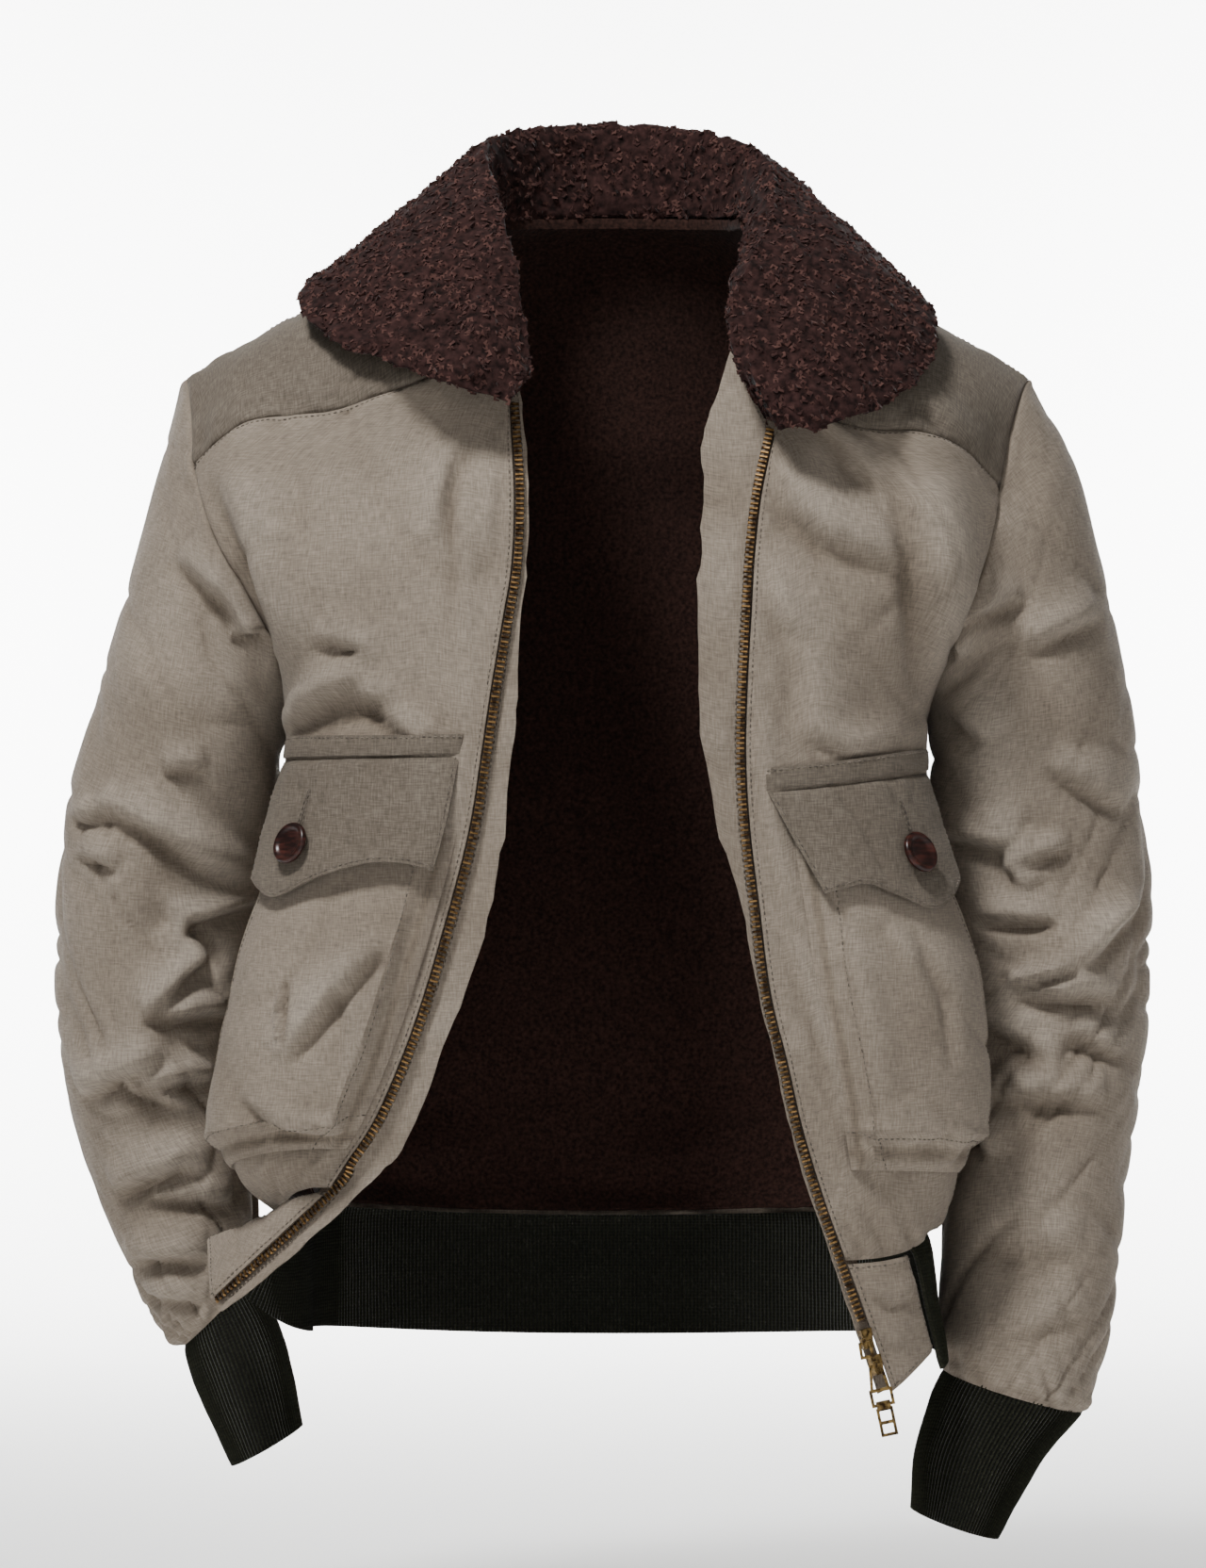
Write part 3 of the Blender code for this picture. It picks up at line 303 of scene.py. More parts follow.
# Smaller folds, seen from the front: points along each, its width and its height.
Crease = tuple[tuple[tuple[float, float], ...], float, float]
CREASES: dict[str, tuple[Crease, ...]] = {
    "front_right": (
        (((-201, -139), (-174, -219), (-170, -242), (-168, -264)), 13, 5),
        (((-130, -242), (-153, -259), (-186, -280)), 9, 4.5),
        (((-155, -225), (-129, -233), (-130, -242)), 7, 3.5),
        (((-148, -263), (-129, -256), (-95, -284)), 9, 3.5),
        (((-76, -139), (-75, -192), (-75, -241)), 6, 1.6),
        (((-84, -125), (-93, -160), (-93, -180)), 8, 2.4),
        (((-59, -134), (-64, -176), (-60, -187)), 5, 1.5),
        (((-178, -277), (-143, -259), (-103, -249)), 12, 2.5),
        (((-70, -242), (-75, -297), (-88, -357)), 6, 1.5),
    ),
    "front_left": (
        (((91, -132), (103, -156), (121, -172), (164, -187)), 12, 4),
        (((78, -183), (92, -211), (103, -230)), 9, 3),
        (((124, -117), (135, -136), (148, -144)), 8, 2.5),
        (((183, -262), (182, -223), (179, -186), (170, -143)), 15, 6),
        (((103, -278), (128, -286), (158, -280)), 7, 2.4),
        (((118, -293), (158, -289)), 4, 1.6),
        (((108, -222), (114, -252), (112, -282)), 14, 2.5),
        (((77, -242), (84, -317), (98, -372)), 6, 1.5),
        (((98, -387), (118, -447), (130, -497)), 6, 2),
    ),
    "sleeve_left": (
        (((186, -216), (224, -202)), 8, 4),
        (((222, -230), (267, -210)), 9, 3.5),
        (((190, -226), (195, -238)), 5, 3),
        (((192, -255), (214, -281)), 10, 4),
        (((239, -293), (285, -317)), 9, 3.5),
        (((186, -325), (224, -337)), 10, 5),
        (((218, -342), (231, -364)), 7, 3),
        (((224, -346), (251, -337)), 7, 3),
        (((207, -376), (245, -377)), 8, 4),
        (((253, -403), (290, -372)), 8, 4),
        (((220, -415), (253, -403)), 6, 4),
        (((220, -419), (275, -417)), 8, 4.5),
        (((200, -425), (247, -456)), 10, 5),
        (((251, -439), (282, -452)), 8, 4),
        (((210, -470), (270, -473)), 10, 4),
        (((201, -491), (211, -509)), 6, 3),
        (((263, -388), (291, -366)), 7, 3),
        (((202, -542), (258, -552)), 14, 2),
        (((212, -598), (258, -583)), 12, 2),
    ),
    "sleeve_right": (
        (((-230, -180), (-186, -220)), 10, 4),
        (((-205, -223), (-179, -219)), 7, 4.5),
        (((-242, -296), (-219, -294)), 7, 3),
        (((-276, -311), (-238, -332), (-200, -358)), 10, 5),
        (((-295, -322), (-270, -322)), 7, 3),
        (((-289, -342), (-266, -349)), 6, 3),
        (((-198, -362), (-240, -383)), 9, 5),
        (((-240, -383), (-228, -402), (-255, -430)), 8, 4.5),
        (((-255, -430), (-207, -428)), 8, 4),
        (((-291, -474), (-244, -449)), 9, 5),
        (((-266, -466), (-215, -464)), 8, 4.5),
        (((-266, -471), (-232, -479)), 6, 3.5),
        (((-274, -527), (-234, -510), (-219, -514)), 9, 5),
        (((-251, -528), (-207, -532)), 8, 4),
        (((-266, -563), (-219, -561)), 9, 4),
        (((-254, -583), (-220, -588)), 7, 3),
    ),
    "pocket_right": (
        (((-176, -452), (-150, -420), (-120, -388)), 8, 5),
        (((-172, -412), (-172, -430), (-170, -450)), 2.4, -3.6),
        (((-196, -470), (-170, -486), (-134, -492)), 7, 3),
        (((-140, -396), (-134, -430), (-136, -462)), 7, 1.8),
        (((-120, -470), (-130, -500)), 5, 2),
    ),
    "pocket_left": (
        (((128, -372), (138, -430), (150, -490)), 8, 1.8),
        (((131, -498), (146, -512), (168, -516)), 4, 2.4),
        (((160, -520), (182, -508), (196, -492)), 4.5, 2.6),
        (((140, -520), (150, -506)), 3, 2),
        (((172, -392), (186, -420), (190, -460)), 7, 2.2),
        (((150, -380), (164, -404)), 6, 1.6),
    ),
    "tab_left": ((((131, -572), (150, -580), (170, -574)), 5, 1.8), (((140, -600), (158, -604)), 5, 1.4)),
    "yoke_front_left": (
        (((163, -94), (190, -119), (206, -124)), 7, 2.4),
        (((129, -108), (159, -110)), 6, 1.2),
    ),
    "yoke_front_right": ((((-174, -90), (-149, -103)), 9, 1.6), (((-217, -105), (-207, -125)), 8, 1.6)),
    "back": (
        (((-196, -190), (-150, -235), (-96, -262)), 14, 4.5),
        (((192, -186), (155, -224), (92, -240)), 13, 4),
        (((-170, -280), (-118, -296), (-60, -292)), 12, 3),
        (((172, -300), (120, -322), (70, -316)), 12, 3.2),
        (((-30, -170), (-24, -260), (-40, -350)), 16, 2),
        (((44, -190), (52, -290), (40, -370)), 14, 2),
        (((-168, -470), (-120, -500), (-70, -505)), 14, 4.5),
        (((168, -462), (118, -490), (52, -500)), 15, 4.5),
        (((-40, -480), (10, -512), (60, -515)), 11, 3),
        (((-110, -400), (-100, -460), (-120, -520)), 10, 2.5),
        (((96, -395), (104, -450), (96, -520)), 10, 2.5),
    ),
}


def hermite(at: Array, knots: Array, rows: Array) -> Array:
    """Smooth curve through rows of values at the knots.

    Args:
        at: Places to read.
        knots: Place of each row.
        rows: Values, one row a knot.

    Returns:
        One row of values for each place.
    """
    at, knots, rows = (np.asarray(a, float) for a in (at, knots, rows))
    slopes = np.gradient(rows, knots, axis=0)
    i = np.clip(np.searchsorted(knots, at, side="right") - 1, 0, len(knots) - 2)
    step = knots[i + 1] - knots[i]
    t = (at - knots[i]) / step
    shape = (len(at),) + (1,) * (rows.ndim - 1)
    t, step = t.reshape(shape), step.reshape(shape)
    return (
        (2 * t**3 - 3 * t**2 + 1) * rows[i]
        + (t**3 - 2 * t**2 + t) * step * slopes[i]
        + (3 * t**2 - 2 * t**3) * rows[i + 1]
        + (t**3 - t**2) * step * slopes[i + 1]
    )


def unit(vectors: Array) -> Array:
    """The same vectors, each one long."""
    return vectors / np.maximum(np.linalg.norm(vectors, axis=-1, keepdims=True), 1e-12)


def smooth(t: Array) -> Array:
    """Eases 0 to 1, and holds it outside."""
    t = np.clip(t, 0, 1)
    return t * t * (3 - 2 * t)


def section(start: Array, corner: tuple, end: Array, t: Array) -> Array:
    """A rounded corner between two points.

    Args:
        start: First point.
        corner: The x and y that the curve pulls towards.
        end: Last point.
        t: Places along it, 0 to 1.

    Returns:
        A point for each place.
    """
    start, end, t = np.asarray(start, float), np.asarray(end, float), np.asarray(t, float)[:, None]
    pull = np.array([corner[0], corner[1], 0.0])
    first, last = start + ROUNDNESS * (pull - start), end + ROUNDNESS * (pull - end)
    points = (1 - t) ** 3 * start + 3 * t * (1 - t) ** 2 * first + 3 * t**2 * (1 - t) * last + t**3 * end
    points[:, 2] = start[2] + (end[2] - start[2]) * smooth(t[:, 0])
    return points


def lattice_noise(points: Array, size: float, seed: int) -> Array:
    """Smooth uneven values between -1 and 1.

    Args:
        points: Places in millimetres, any number of coordinates.
        size: Width of one bump in millimetres.
        seed: Picks the pattern.

    Returns:
        A value for each place.
    """
    table = np.random.default_rng(seed).uniform(-1, 1, 4096)
    place = np.asarray(points, float) / size + 0.37 * seed
    low = np.floor(place).astype(int)
    part = smooth(place - low)
    primes = np.array([73856093, 19349663, 83492791])[: place.shape[-1]]
    total = np.zeros(place.shape[:-1])
    for corner in range(2 ** place.shape[-1]):
        bits = np.array([(corner >> axis) & 1 for axis in range(place.shape[-1])])
        weight = np.prod(np.where(bits, part, 1 - part), axis=-1)
        total += weight * table[((low + bits) * primes).sum(axis=-1) % 4096]
    return total


def line_noise(along: Array, size: float, seed: int) -> Array:
    """The same unevenness along one length."""
    return lattice_noise(np.asarray(along, float)[..., None], size, seed)


def closer_at_ends(count: int, length: float, start: bool = True, end: bool = True) -> Array:
    """Shares from 0 to 1, closer at the ends, where a seam needs fine steps.

    Args:
        count: Number of even steps between.
        length: The whole length in millimetres.
        start: Whether the first end is a seam.
        end: Whether the last end is one.

    Returns:
        The shares in order.
    """
    near = np.array([0.7, 1.6, 2.9, 4.8, 7.4]) / length
    low = near if start else np.array([])
    high = 1 - near[::-1] if end else np.array([])
    first, last = (near[-1] if start else 0.0), (1 - near[-1] if end else 1.0)
    even = np.linspace(first, last, count + 1)
    even = even[1:-1]
    return np.concatenate([[0.0], low, even, high, [1.0]])


SHOULDER_W = closer_at_ends(44, 165)
YOKE_W = closer_at_ends(9, 45)
NECK_PART = NECK_U * closer_at_ends(10, 32, True, False)[:-1]
FRONT_U = np.concatenate([NECK_PART, NECK_U + (1 - NECK_U) * SHOULDER_W])
YOKE_U = FRONT_U[FRONT_U >= NECK_U - 1e-9]
ARM_V = closer_at_ends(36, 152, True, False) * 4
BODY_V = np.concatenate([ARM_V, 4 + 8 * closer_at_ends(76, 300, False, True)[1:]])
BACK_T = np.concatenate([np.linspace(0, NECK_SHARE, 18)[:-1], NECK_SHARE + (1 - NECK_SHARE) * SHOULDER_W])
SLEEVE_V = closer_at_ends(190, 480) * 11


class Pattern:
    """The cut of the jacket, as surfaces in body coordinates, in millimetres."""

    @staticmethod
    def front_at(side: int, v: Array, u: Array) -> Array:
        """A front on a grid of rows v, 0 at the yoke and 12 at the hem, and columns u from the zip."""
        top = np.array(FRONT_TOP[side], float)
        rows = [hermite(u, top[:, 0], top[:, 1:])]
        rows += [section(row[:3], row[3:5], row[5:], u) for row in FRONT_ROWS[side]]
        return hermite(v, np.arange(13), np.array(rows)) * [side, 1, 1]

    @staticmethod
    def back_half(side: int, v: Array, t: Array) -> Array:
        """Half the back, from its middle to the side it shares with the front."""
        ends = list(BACK_ARMHOLE[side]) + [row[5:] for row in FRONT_ROWS[side][3:]]
        rows = [section((0, y, z), (x, y), end, t) for (y, z, x), end in zip(BACK_ROWS, ends)]
        return hermite(v, np.arange(13), np.array(rows)) * [side, 1, 1]

    @staticmethod
    def shoulder_at(side: int, w: Array) -> Array:
        """Shoulder seam from the neck to the sleeve."""
        return hermite(w, np.linspace(0, 1, len(SHOULDER)), SHOULDER) * [side, 1, 1]

    @staticmethod
    def over_shoulder(low: Array, high: Array, w: Array) -> Array:
        """Rows from a yoke seam up and over to the shoulder seam."""
        middle = (low + high) / 2
        middle[:, 1] = low[:, 1] + 0.22 * (high[:, 1] - low[:, 1])
        middle[:, 2] = high[:, 2] - 0.16 * (high[:, 2] - low[:, 2])
        w = np.asarray(w)[:, None, None]
        return (1 - w) ** 2 * low + 2 * w * (1 - w) * middle + w**2 * high

    @classmethod
    def yoke_front_at(cls, side: int, w: Array, u: Array) -> Array:
        """Front yoke from its seam, w 0, to the shoulder, w 1."""
        high = cls.shoulder_at(side, np.clip((np.asarray(u) - NECK_U) / (1 - NECK_U), 0, 1))
        return cls.over_shoulder(cls.front_at(side, [0], u)[0], high, w)

    @classmethod
    def yoke_back_top(cls, side: int, t: Array) -> Array:
        """Back neckline as far as the share of the neck, then the shoulder seam."""
        t = np.round(np.asarray(t, float), 9)
        turn = np.clip(t / NECK_SHARE, 0, 1) * np.pi / 2
        neck_x, neck_y, neck_z = SHOULDER[0]
        across = neck_x * np.sin(turn)
        back = neck_y + (BACK_NECK[1] - neck_y) * np.cos(turn)
        rise = neck_z + (BACK_NECK[2] - neck_z) * np.cos(turn)
        neck = np.stack([across, back, rise], axis=-1) * [side, 1, 1]
        out = cls.shoulder_at(side, np.clip((t - NECK_SHARE) / (1 - NECK_SHARE), 0, 1))
        return np.where((t > NECK_SHARE)[:, None], out, neck)

    @classmethod
    def yoke_back_at(cls, w: Array, t: Array) -> Array:
        """Back yoke, both halves in one grid."""
        halves = []
        for side in (-1, 1):
            low = cls.back_half(side, [0], t)[0]
            halves.append(cls.over_shoulder(low, cls.yoke_back_top(side, t), w))
        return np.concatenate([halves[0][:, ::-1], halves[1][:, 1:]], axis=1)

    @classmethod
    def back_at(cls, v: Array, t: Array) -> Array:
        """The back below its yoke, both halves in one grid."""
        return np.concatenate([cls.back_half(-1, v, t)[:, ::-1], cls.back_half(1, v, t)[:, 1:]], axis=1)

    @classmethod
    def armhole(cls, side: int) -> Array:
        """The armhole as one loop: armpit, up the front, over the shoulder, down the back."""
        front = cls.front_at(side, ARM_V, [1.0])[::-1, 0]
        over = cls.yoke_front_at(side, YOKE_W, [1.0])[1:, 0]
        low = cls.back_half(side, [0], [1.0])[0]
        yoke = cls.over_shoulder(low, cls.yoke_back_top(side, [1.0]), YOKE_W)[::-1][1:, 0]
        back = cls.back_half(side, ARM_V, [1.0])[1:-1, 0]
        return np.concatenate([front, over, yoke, back])

    @classmethod
    def loop_angles(cls, side: int) -> Array:
        """Angle of each armhole point round the sleeve: 0 at the armpit, half a turn at the shoulder."""
        loop = cls.armhole(side)
        half = int(np.argmax(loop[:, 2]))
        around = np.linalg.norm(np.diff(np.vstack([loop, loop[:1]]), axis=0), axis=1)
        up, down = np.cumsum(around[:half]), np.cumsum(around[half:])
        return np.concatenate([[0], up / up[-1] * np.pi, np.pi + down[:-1] / down[-1] * np.pi])

    @staticmethod
    def ring(side: int, row: tuple, angles: Array) -> Array:
        """One section of a sleeve or cuff: 0 faces the body, a quarter turn faces the front."""
        x_out, z_out, x_in, z_in, y, depth = row
        middle = np.array([(x_out + x_in) / 2, y, (z_out + z_in) / 2])
        across = np.array([x_in - x_out, 0, z_in - z_out]) / 2
        points = middle + np.cos(angles)[:, None] * across + np.sin(angles)[:, None] * [0, -depth, 0]
        return points * [side, 1, 1]

    @classmethod
    def sleeve_at(cls, side: int, v: Array) -> Array:
        """A sleeve from the armhole, v 0, to the cuff seam, v 11."""
        angles = cls.loop_angles(side)
        rings = [cls.armhole(side)] + [cls.ring(side, row, angles) for row in SLEEVE_ROWS[side]]
        return hermite(v, np.arange(len(rings)), np.array(rings))

    @classmethod
    def cuff_at(cls, side: int, v: Array, angles: Array) -> Array:
        """A cuff from its seam, v 0, to its mouth, v 2."""
        rows = SLEEVE_ROWS[side][-1:] + CUFF_ROWS[side]
        return hermite(v, np.arange(3), np.array([cls.ring(side, row, angles) for row in rows]))

    @classmethod
    def edge_line(cls, side: int, rows: Array) -> Array:
        """The zip edge of a front, carried on down the front edge of its tab."""
        points = [FRONT_TOP[side][0][1:]] + [row[:3] for row in FRONT_ROWS[side]]
        return hermite(rows, np.arange(14), points + [TABS[side][1:4]]) * [side, 1, 1]

    @classmethod
    def edge_frame(cls, side: int, rows: Array) -> tuple[Array, Array, Array]:
        """The zip edge, its direction across the zip, and its outward normal."""
        rows = np.asarray(rows, float)
        step = cls.front_at(side, np.clip(rows, 1, 12), [0.0, 0.02])
        across = step[:, 0] - step[:, 1]
        across[:, 2] = 0
        across = unit(across)
        edge = unit(np.array(TABS[side][1:4], float) - FRONT_ROWS[side][-1][:3])
        base = np.array(TABS[side][1:4], float) - TABS[side][4:]
        base -= edge * base.dot(edge)
        share = np.clip(rows - 12, 0, 1)[:, None]
        across = unit((1 - share) * across + share * unit(base) * [side, 1, 1])
        low, high = np.clip(rows - 0.05, 0, 13), np.clip(rows + 0.05, 0, 13)
        normals = unit(np.cross(across, cls.edge_line(side, high) - cls.edge_line(side, low)))
        return cls.edge_line(side, rows), across, normals * np.where(normals[:, 1:2] > 0, -1, 1)

    @classmethod
    def beyond_zip(cls, side: int, grid: Array) -> Array:
        """A front's grid with every point below the zip's top kept on the cloth's side of the zip."""
        edge = cls.edge_line(side, np.linspace(0, 12, 97))
        limit = np.interp(-grid[..., 2], -edge[:, 2], side * edge[:, 0])
        limit = limit + 0.25 * np.arange(grid.shape[1])[None]
        over = (grid[..., 2] < edge[0, 2] - 0.01) & (side * grid[..., 0] < limit)
        over[:, 0] = False
        kept = grid.copy()
        kept[..., 0] = np.where(over, side * limit, grid[..., 0])
        return kept

    @classmethod
    def neckline(cls) -> Array:
        """The neck seam at each row of the collar table."""
        halves = {}
        for side in SIDES:
            top = np.array(FRONT_TOP[side], float)[[0, 2], 1:] * [side, 1, 1]
            over = cls.yoke_front_at(side, [0.5], [NECK_U])[0]
            back = cls.yoke_back_top(side, NECK_SHARE * np.array([1.0, 0.6, 0.28, 0.0]))
            halves[side] = np.concatenate([top, over, back])
        return np.concatenate([halves[-1], halves[1][-2::-1]])


def grid_normals(grid: Array, wrap: bool, middle: Array) -> Array:
    """Unit normals of a grid, turned as a whole to face away from a place inside.

    Args:
        grid: Points in rows and columns.
        wrap: Whether the last column meets the first.
        middle: The place inside, one or one a row.

    Returns:
        One normal a point.
    """
    if wrap:
        across = np.roll(grid, -1, axis=1) - np.roll(grid, 1, axis=1)
    else:
        across = np.gradient(grid, axis=1)
    normals = unit(np.cross(across, np.gradient(grid, axis=0)))
    return normals if ((grid - middle) * normals).sum() > 0 else -normals


def crease_height(x: Array, z: Array, crease: Crease) -> Array:
    """How far one fold lifts each place: a ridge with a trough under it, fading at its ends.

    Args:
        x: Places across.
        z: Places up.
        crease: Its points, width and height.

    Returns:
        Heights in millimetres.
    """
    points, width, lift = crease
    points = np.array(points, float)
    nearest = np.full(x.shape, 1e9)
    signed, share = np.zeros(x.shape), np.zeros(x.shape)
    runs = np.diff(points, axis=0)
    lengths = np.linalg.norm(runs, axis=1)
    for start, run, length, before in zip(points, runs, lengths, np.cumsum(lengths) - lengths):
        dx, dz = x - start[0], z - start[1]
        t = np.clip((dx * run[0] + dz * run[1]) / length**2, 0, 1)
        away = np.hypot(dx - t * run[0], dz - t * run[1])
        closer = away < nearest
        nearest = np.where(closer, away, nearest)
        side = np.sign(dx * run[1] - dz * run[0])
        signed = np.where(closer, side * away, signed)
        share = np.where(closer, (before + t * length) / lengths.sum(), share)
    fade = np.sin(np.pi * share) ** 0.55
    if points[-1, 0] < points[0, 0]:
        signed = -signed
    place = signed / (FOLD_WIDTH * width)
    ridge = np.exp(-((place / np.where(place > 0, 0.75, 1.35)) ** 2))
    valley = np.exp(-(((place - 1.25) / 0.5) ** 2))
    return lift * fade * (ridge - 0.75 * valley)


class Folds:
    """Every fold pressed into the worn cloth, laid in body coordinates."""

    @staticmethod
    def large(points: Array, normals: Array) -> Array:
        """The folds that the solids carry, lower where they pass round to the back."""
        height = np.zeros(points.shape[:-1])
        facing = np.where(normals[..., 1] < 0, -normals[..., 1], BACK_FOLD_SHARE * normals[..., 1])
        for x, z, x_end, z_end, width, lift in FOLDS:
            start, run = np.array([x, z], float), np.array([x_end - x, z_end - z], float)
            place = points[..., [0, 2]] - start
            share = np.clip((place @ run) / (run @ run), 0, 1)
            away = np.linalg.norm(place - share[..., None] * run, axis=-1)
            height += lift * np.exp(-((away / width) ** 2))
        return height * facing

    @staticmethod
    def small(name: str, points: Array, normals: Array) -> Array:
        """A piece's own smaller folds, and on a sleeve the like of them on the hidden side."""
        height = np.zeros(points.shape[:-1])
        turned = normals[..., 1] if name == "back" else -normals[..., 1]
        front = np.clip(0.3 + turned, 0, 1)
        behind = 0.7 * np.clip(-turned - 0.1, 0, 1)
        for crease in CREASES.get(name, ()):
            height += front * crease_height(points[..., 0], points[..., 2], crease)
            if name.startswith("sleeve"):
                moved = points[..., 2] + 9 + 0.12 * points[..., 0]
                height += behind * crease_height(points[..., 0], moved, crease)
        return FOLD_DEPTH.get(name.split("_")[0], 1.0) * height

    @staticmethod
    def pressed_in(side: int, points: Array, normals: Array) -> Array:
        """The inner side of a sleeve, full against the body."""
        middle, reach, depth = PRESSED[side]
        inner = np.clip(-side * normals[..., 0] - 0.25, 0, 1)
        return depth * inner * np.exp(-(((points[..., 2] - middle) / reach) ** 4))

    @staticmethod
    def crumple(points: Array, amount: float) -> Array:
        """Shallow unevenness of washed cotton, wider and narrower together."""
        wide = lattice_noise(points, 46, 3)
        middling = 0.25 * lattice_noise(points, 16, 5)
        x, z = points[..., 0], points[..., 2]
        drawn = np.stack([x + 0.6 * z, 0.45 * z - 0.3 * x], axis=-1)
        sharp = -2.3 * (1 - np.abs(lattice_noise(drawn + 9 * wide[..., None], 36, 9))) ** 7
        return amount * (wide + middling + sharp)

    @staticmethod
    def pushed_up(across: Array, down: Array, seed: int) -> Array:
        """Rings of cloth pushed up a bent sleeve, deeper at the elbow and above the cuff."""
        share = down / down.max()
        depth = 0.25 + np.exp(-(((share - 0.52) / 0.16) ** 2)) + 0.9 * smooth((share - 0.72) / 0.2)
        bent = down + 9 * lattice_noise(np.stack([across, down], axis=-1), 55, seed)
        rings = lattice_noise(np.stack([across / 3.4, bent], axis=-1), 26, seed + 1)
        return 3.4 * depth * (0.4 - (1 - np.abs(rings)) ** 5)


class Seam(Enum):
    """What each border of a cut piece is."""

    SEWN = "sewn to another piece and pressed in"
    EDGE = "turned under and stitched"
    GATHERED = "gathered into a knit band"
    FREE = "left as it is"


@dataclass
class Cut:
    """One cut piece: its points, its normals and its borders.

    Attributes:
        name: Its CAD node.
        grid: Points in rows down it and columns across it.
        normals: One outward normal a point.
        borders: What the top, bottom, first and last column are.
        wrap: Whether it closes on itself round the limb.
    """

    name: str
    grid: Array
    normals: Array
    borders: tuple[Seam, Seam, Seam, Seam]
    wrap: bool = False
    # fold: a share from -1 to 1 that the materials paint as shade in troughs and grooves and as light on
    # ridges.
    fold: Optional[Array] = None
    height: Optional[Array] = None
    grain: Optional[tuple[Array, Array]] = None

    def threads(self) -> tuple[Array, Array]:
        """Place of each point along the crosswise and the lengthwise threads of a straight cut."""
        across, down = self.lengths()
        if self.wrap:
            middle = self.grid.mean(axis=1)
            steps = np.linalg.norm(np.diff(middle, axis=0, prepend=middle[:1]), axis=1)
            ahead = unit(np.gradient(middle, axis=0))[:, None]
            along = np.cumsum(steps)[:, None] + ((self.grid - middle[:, None]) * ahead).sum(axis=-1)
            return across - across[:, -1:] / 2, np.concatenate([along, along[:, :1]], axis=1)
        first, last = self.grid[:, 0, 0], self.grid[:, -1, 0]
        if (first * last).mean() < 0:
            middle = self.grid.shape[1] // 2
            return across - across[:, middle : middle + 1], down - self.grid[:1, :, 2]
        return across + (np.sign(last - first) * first)[:, None], down - self.grid[:1, :, 2]

    def lengths(self) -> tuple[Array, Array]:
        """Distance along the cloth to each point: across from the first column, down from the top."""
        grid = self.grid
        if self.wrap:
            grid = np.concatenate([grid, grid[:, :1]], axis=1)
        across = np.linalg.norm(np.diff(grid, axis=1), axis=2)
        down = np.linalg.norm(np.diff(grid, axis=0), axis=2)
        across = np.concatenate([np.zeros((len(grid), 1)), np.cumsum(across, axis=1)], axis=1)
        down = np.concatenate([np.zeros((1, grid.shape[1])), np.cumsum(down, axis=0)], axis=0)
        return across, down

    def flat(self) -> tuple[float, float, float]:
        """Width, length and area of the cut in metres, before folds and seams are pressed in."""
        across, down = self.lengths()
        grid = self.grid
        if self.wrap:
            grid = np.concatenate([grid, grid[:, :1]], axis=1)
        one = np.cross(grid[1:, 1:] - grid[:-1, :-1], grid[1:, :-1] - grid[:-1, 1:])
        area = np.linalg.norm(one, axis=2).sum() / 2
        width, length = across[:, -1].max() * MM, down[-1].max() * MM
        area = area * MM * MM
        slack = 1.02
        return width * slack, length * slack, min(area * slack, width * length * slack * slack)

    def press(self, amount: float) -> None:
        """Lays the folds, the puckers along its seams and the gathers into the cut.

        Args:
            amount: Strength of the general crumple.
        """
        self.grain = self.threads()
        across, down = self.lengths()
        columns = self.grid.shape[1]
        across_all = across[:, -1:]
        s, d = across[:, :columns], down[:, :columns]
        height = Folds.small(self.name, self.grid, self.normals)
        rounded = Folds.crumple(self.grid, amount)
        if self.wrap:
            side = 1 if self.name.endswith("left") else -1
            rounded = rounded + Folds.pushed_up(s, d, 17)
            height += Folds.pressed_in(side, self.grid, self.normals)
        away = (d, d[-1:] - d, s, across_all - s)
        along = (s, s, d, d)
        quiet = np.ones(s.shape)
        for number, border in enumerate(self.borders):
            if border is not Seam.GATHERED and not (self.wrap and number > 1):
                height *= smooth(away[number] / 14)
        for number, border in enumerate(self.borders):
            if self.wrap and number > 1:
                continue
            far, place = away[number], along[number]
            quiet *= smooth(far / 14 + 0.1) if border is Seam.EDGE else smooth(far / 9 + 0.25)
            rise = (far / 5) * np.exp(1 - far / 5)
            if border is Seam.SEWN:
                pucker = line_noise(place, 8, number + 11) * rise * 0.95
                stitched = 0.4 * np.exp(-(((far - 2.6) / 0.7) ** 2))
                height += pucker - 2.1 * np.exp(-((far / 1.5) ** 2)) - stitched
            elif border is Seam.EDGE:
                height += 0.5 * line_noise(place, 10, number + 21) * rise - 0.6 * np.exp(-far / 0.8)
                height -= 0.3 * np.exp(-(((far - 2.2) / 0.8) ** 2))
            elif border is Seam.GATHERED:
                fine = np.abs(line_noise(place + 0.25 * far, 9, number + 31)) ** 0.8 - 0.45
                broad = line_noise(place - 0.3 * far, 26, number + 51)
                reach = 24 + 12 * line_noise(place, 20, number + 41)
                height += 4.6 * fine * np.exp(-((far / reach) ** 2)) * smooth(far / 4 + 0.2)
                height += 3.4 * broad * np.exp(-((far / 46) ** 2)) * smooth(far / 9)
                height -= 2.0 * np.exp(-((far / 3.5) ** 2))
        height += rounded * quiet
        # The heights, kept as a share, become painted shade in troughs and seam grooves and painted light
        # on ridges in the materials.
        self.fold = np.clip(height / 8, -1, 1)
        self.height = height
        self.grid = self.grid + height[..., None] * self.normals

    def borders_drawn_in(self, gap: float) -> Array:
        """The grid with its borders drawn in by half a seam gap."""
        grid = self.grid.copy()
        for line, towards in ((0, 1), (-1, -2)):
            grid[line] += unit(grid[towards] - grid[line]) * gap / 2
            if not self.wrap:
                grid[:, line] += unit(grid[:, towards] - grid[:, line]) * gap / 2
        return grid


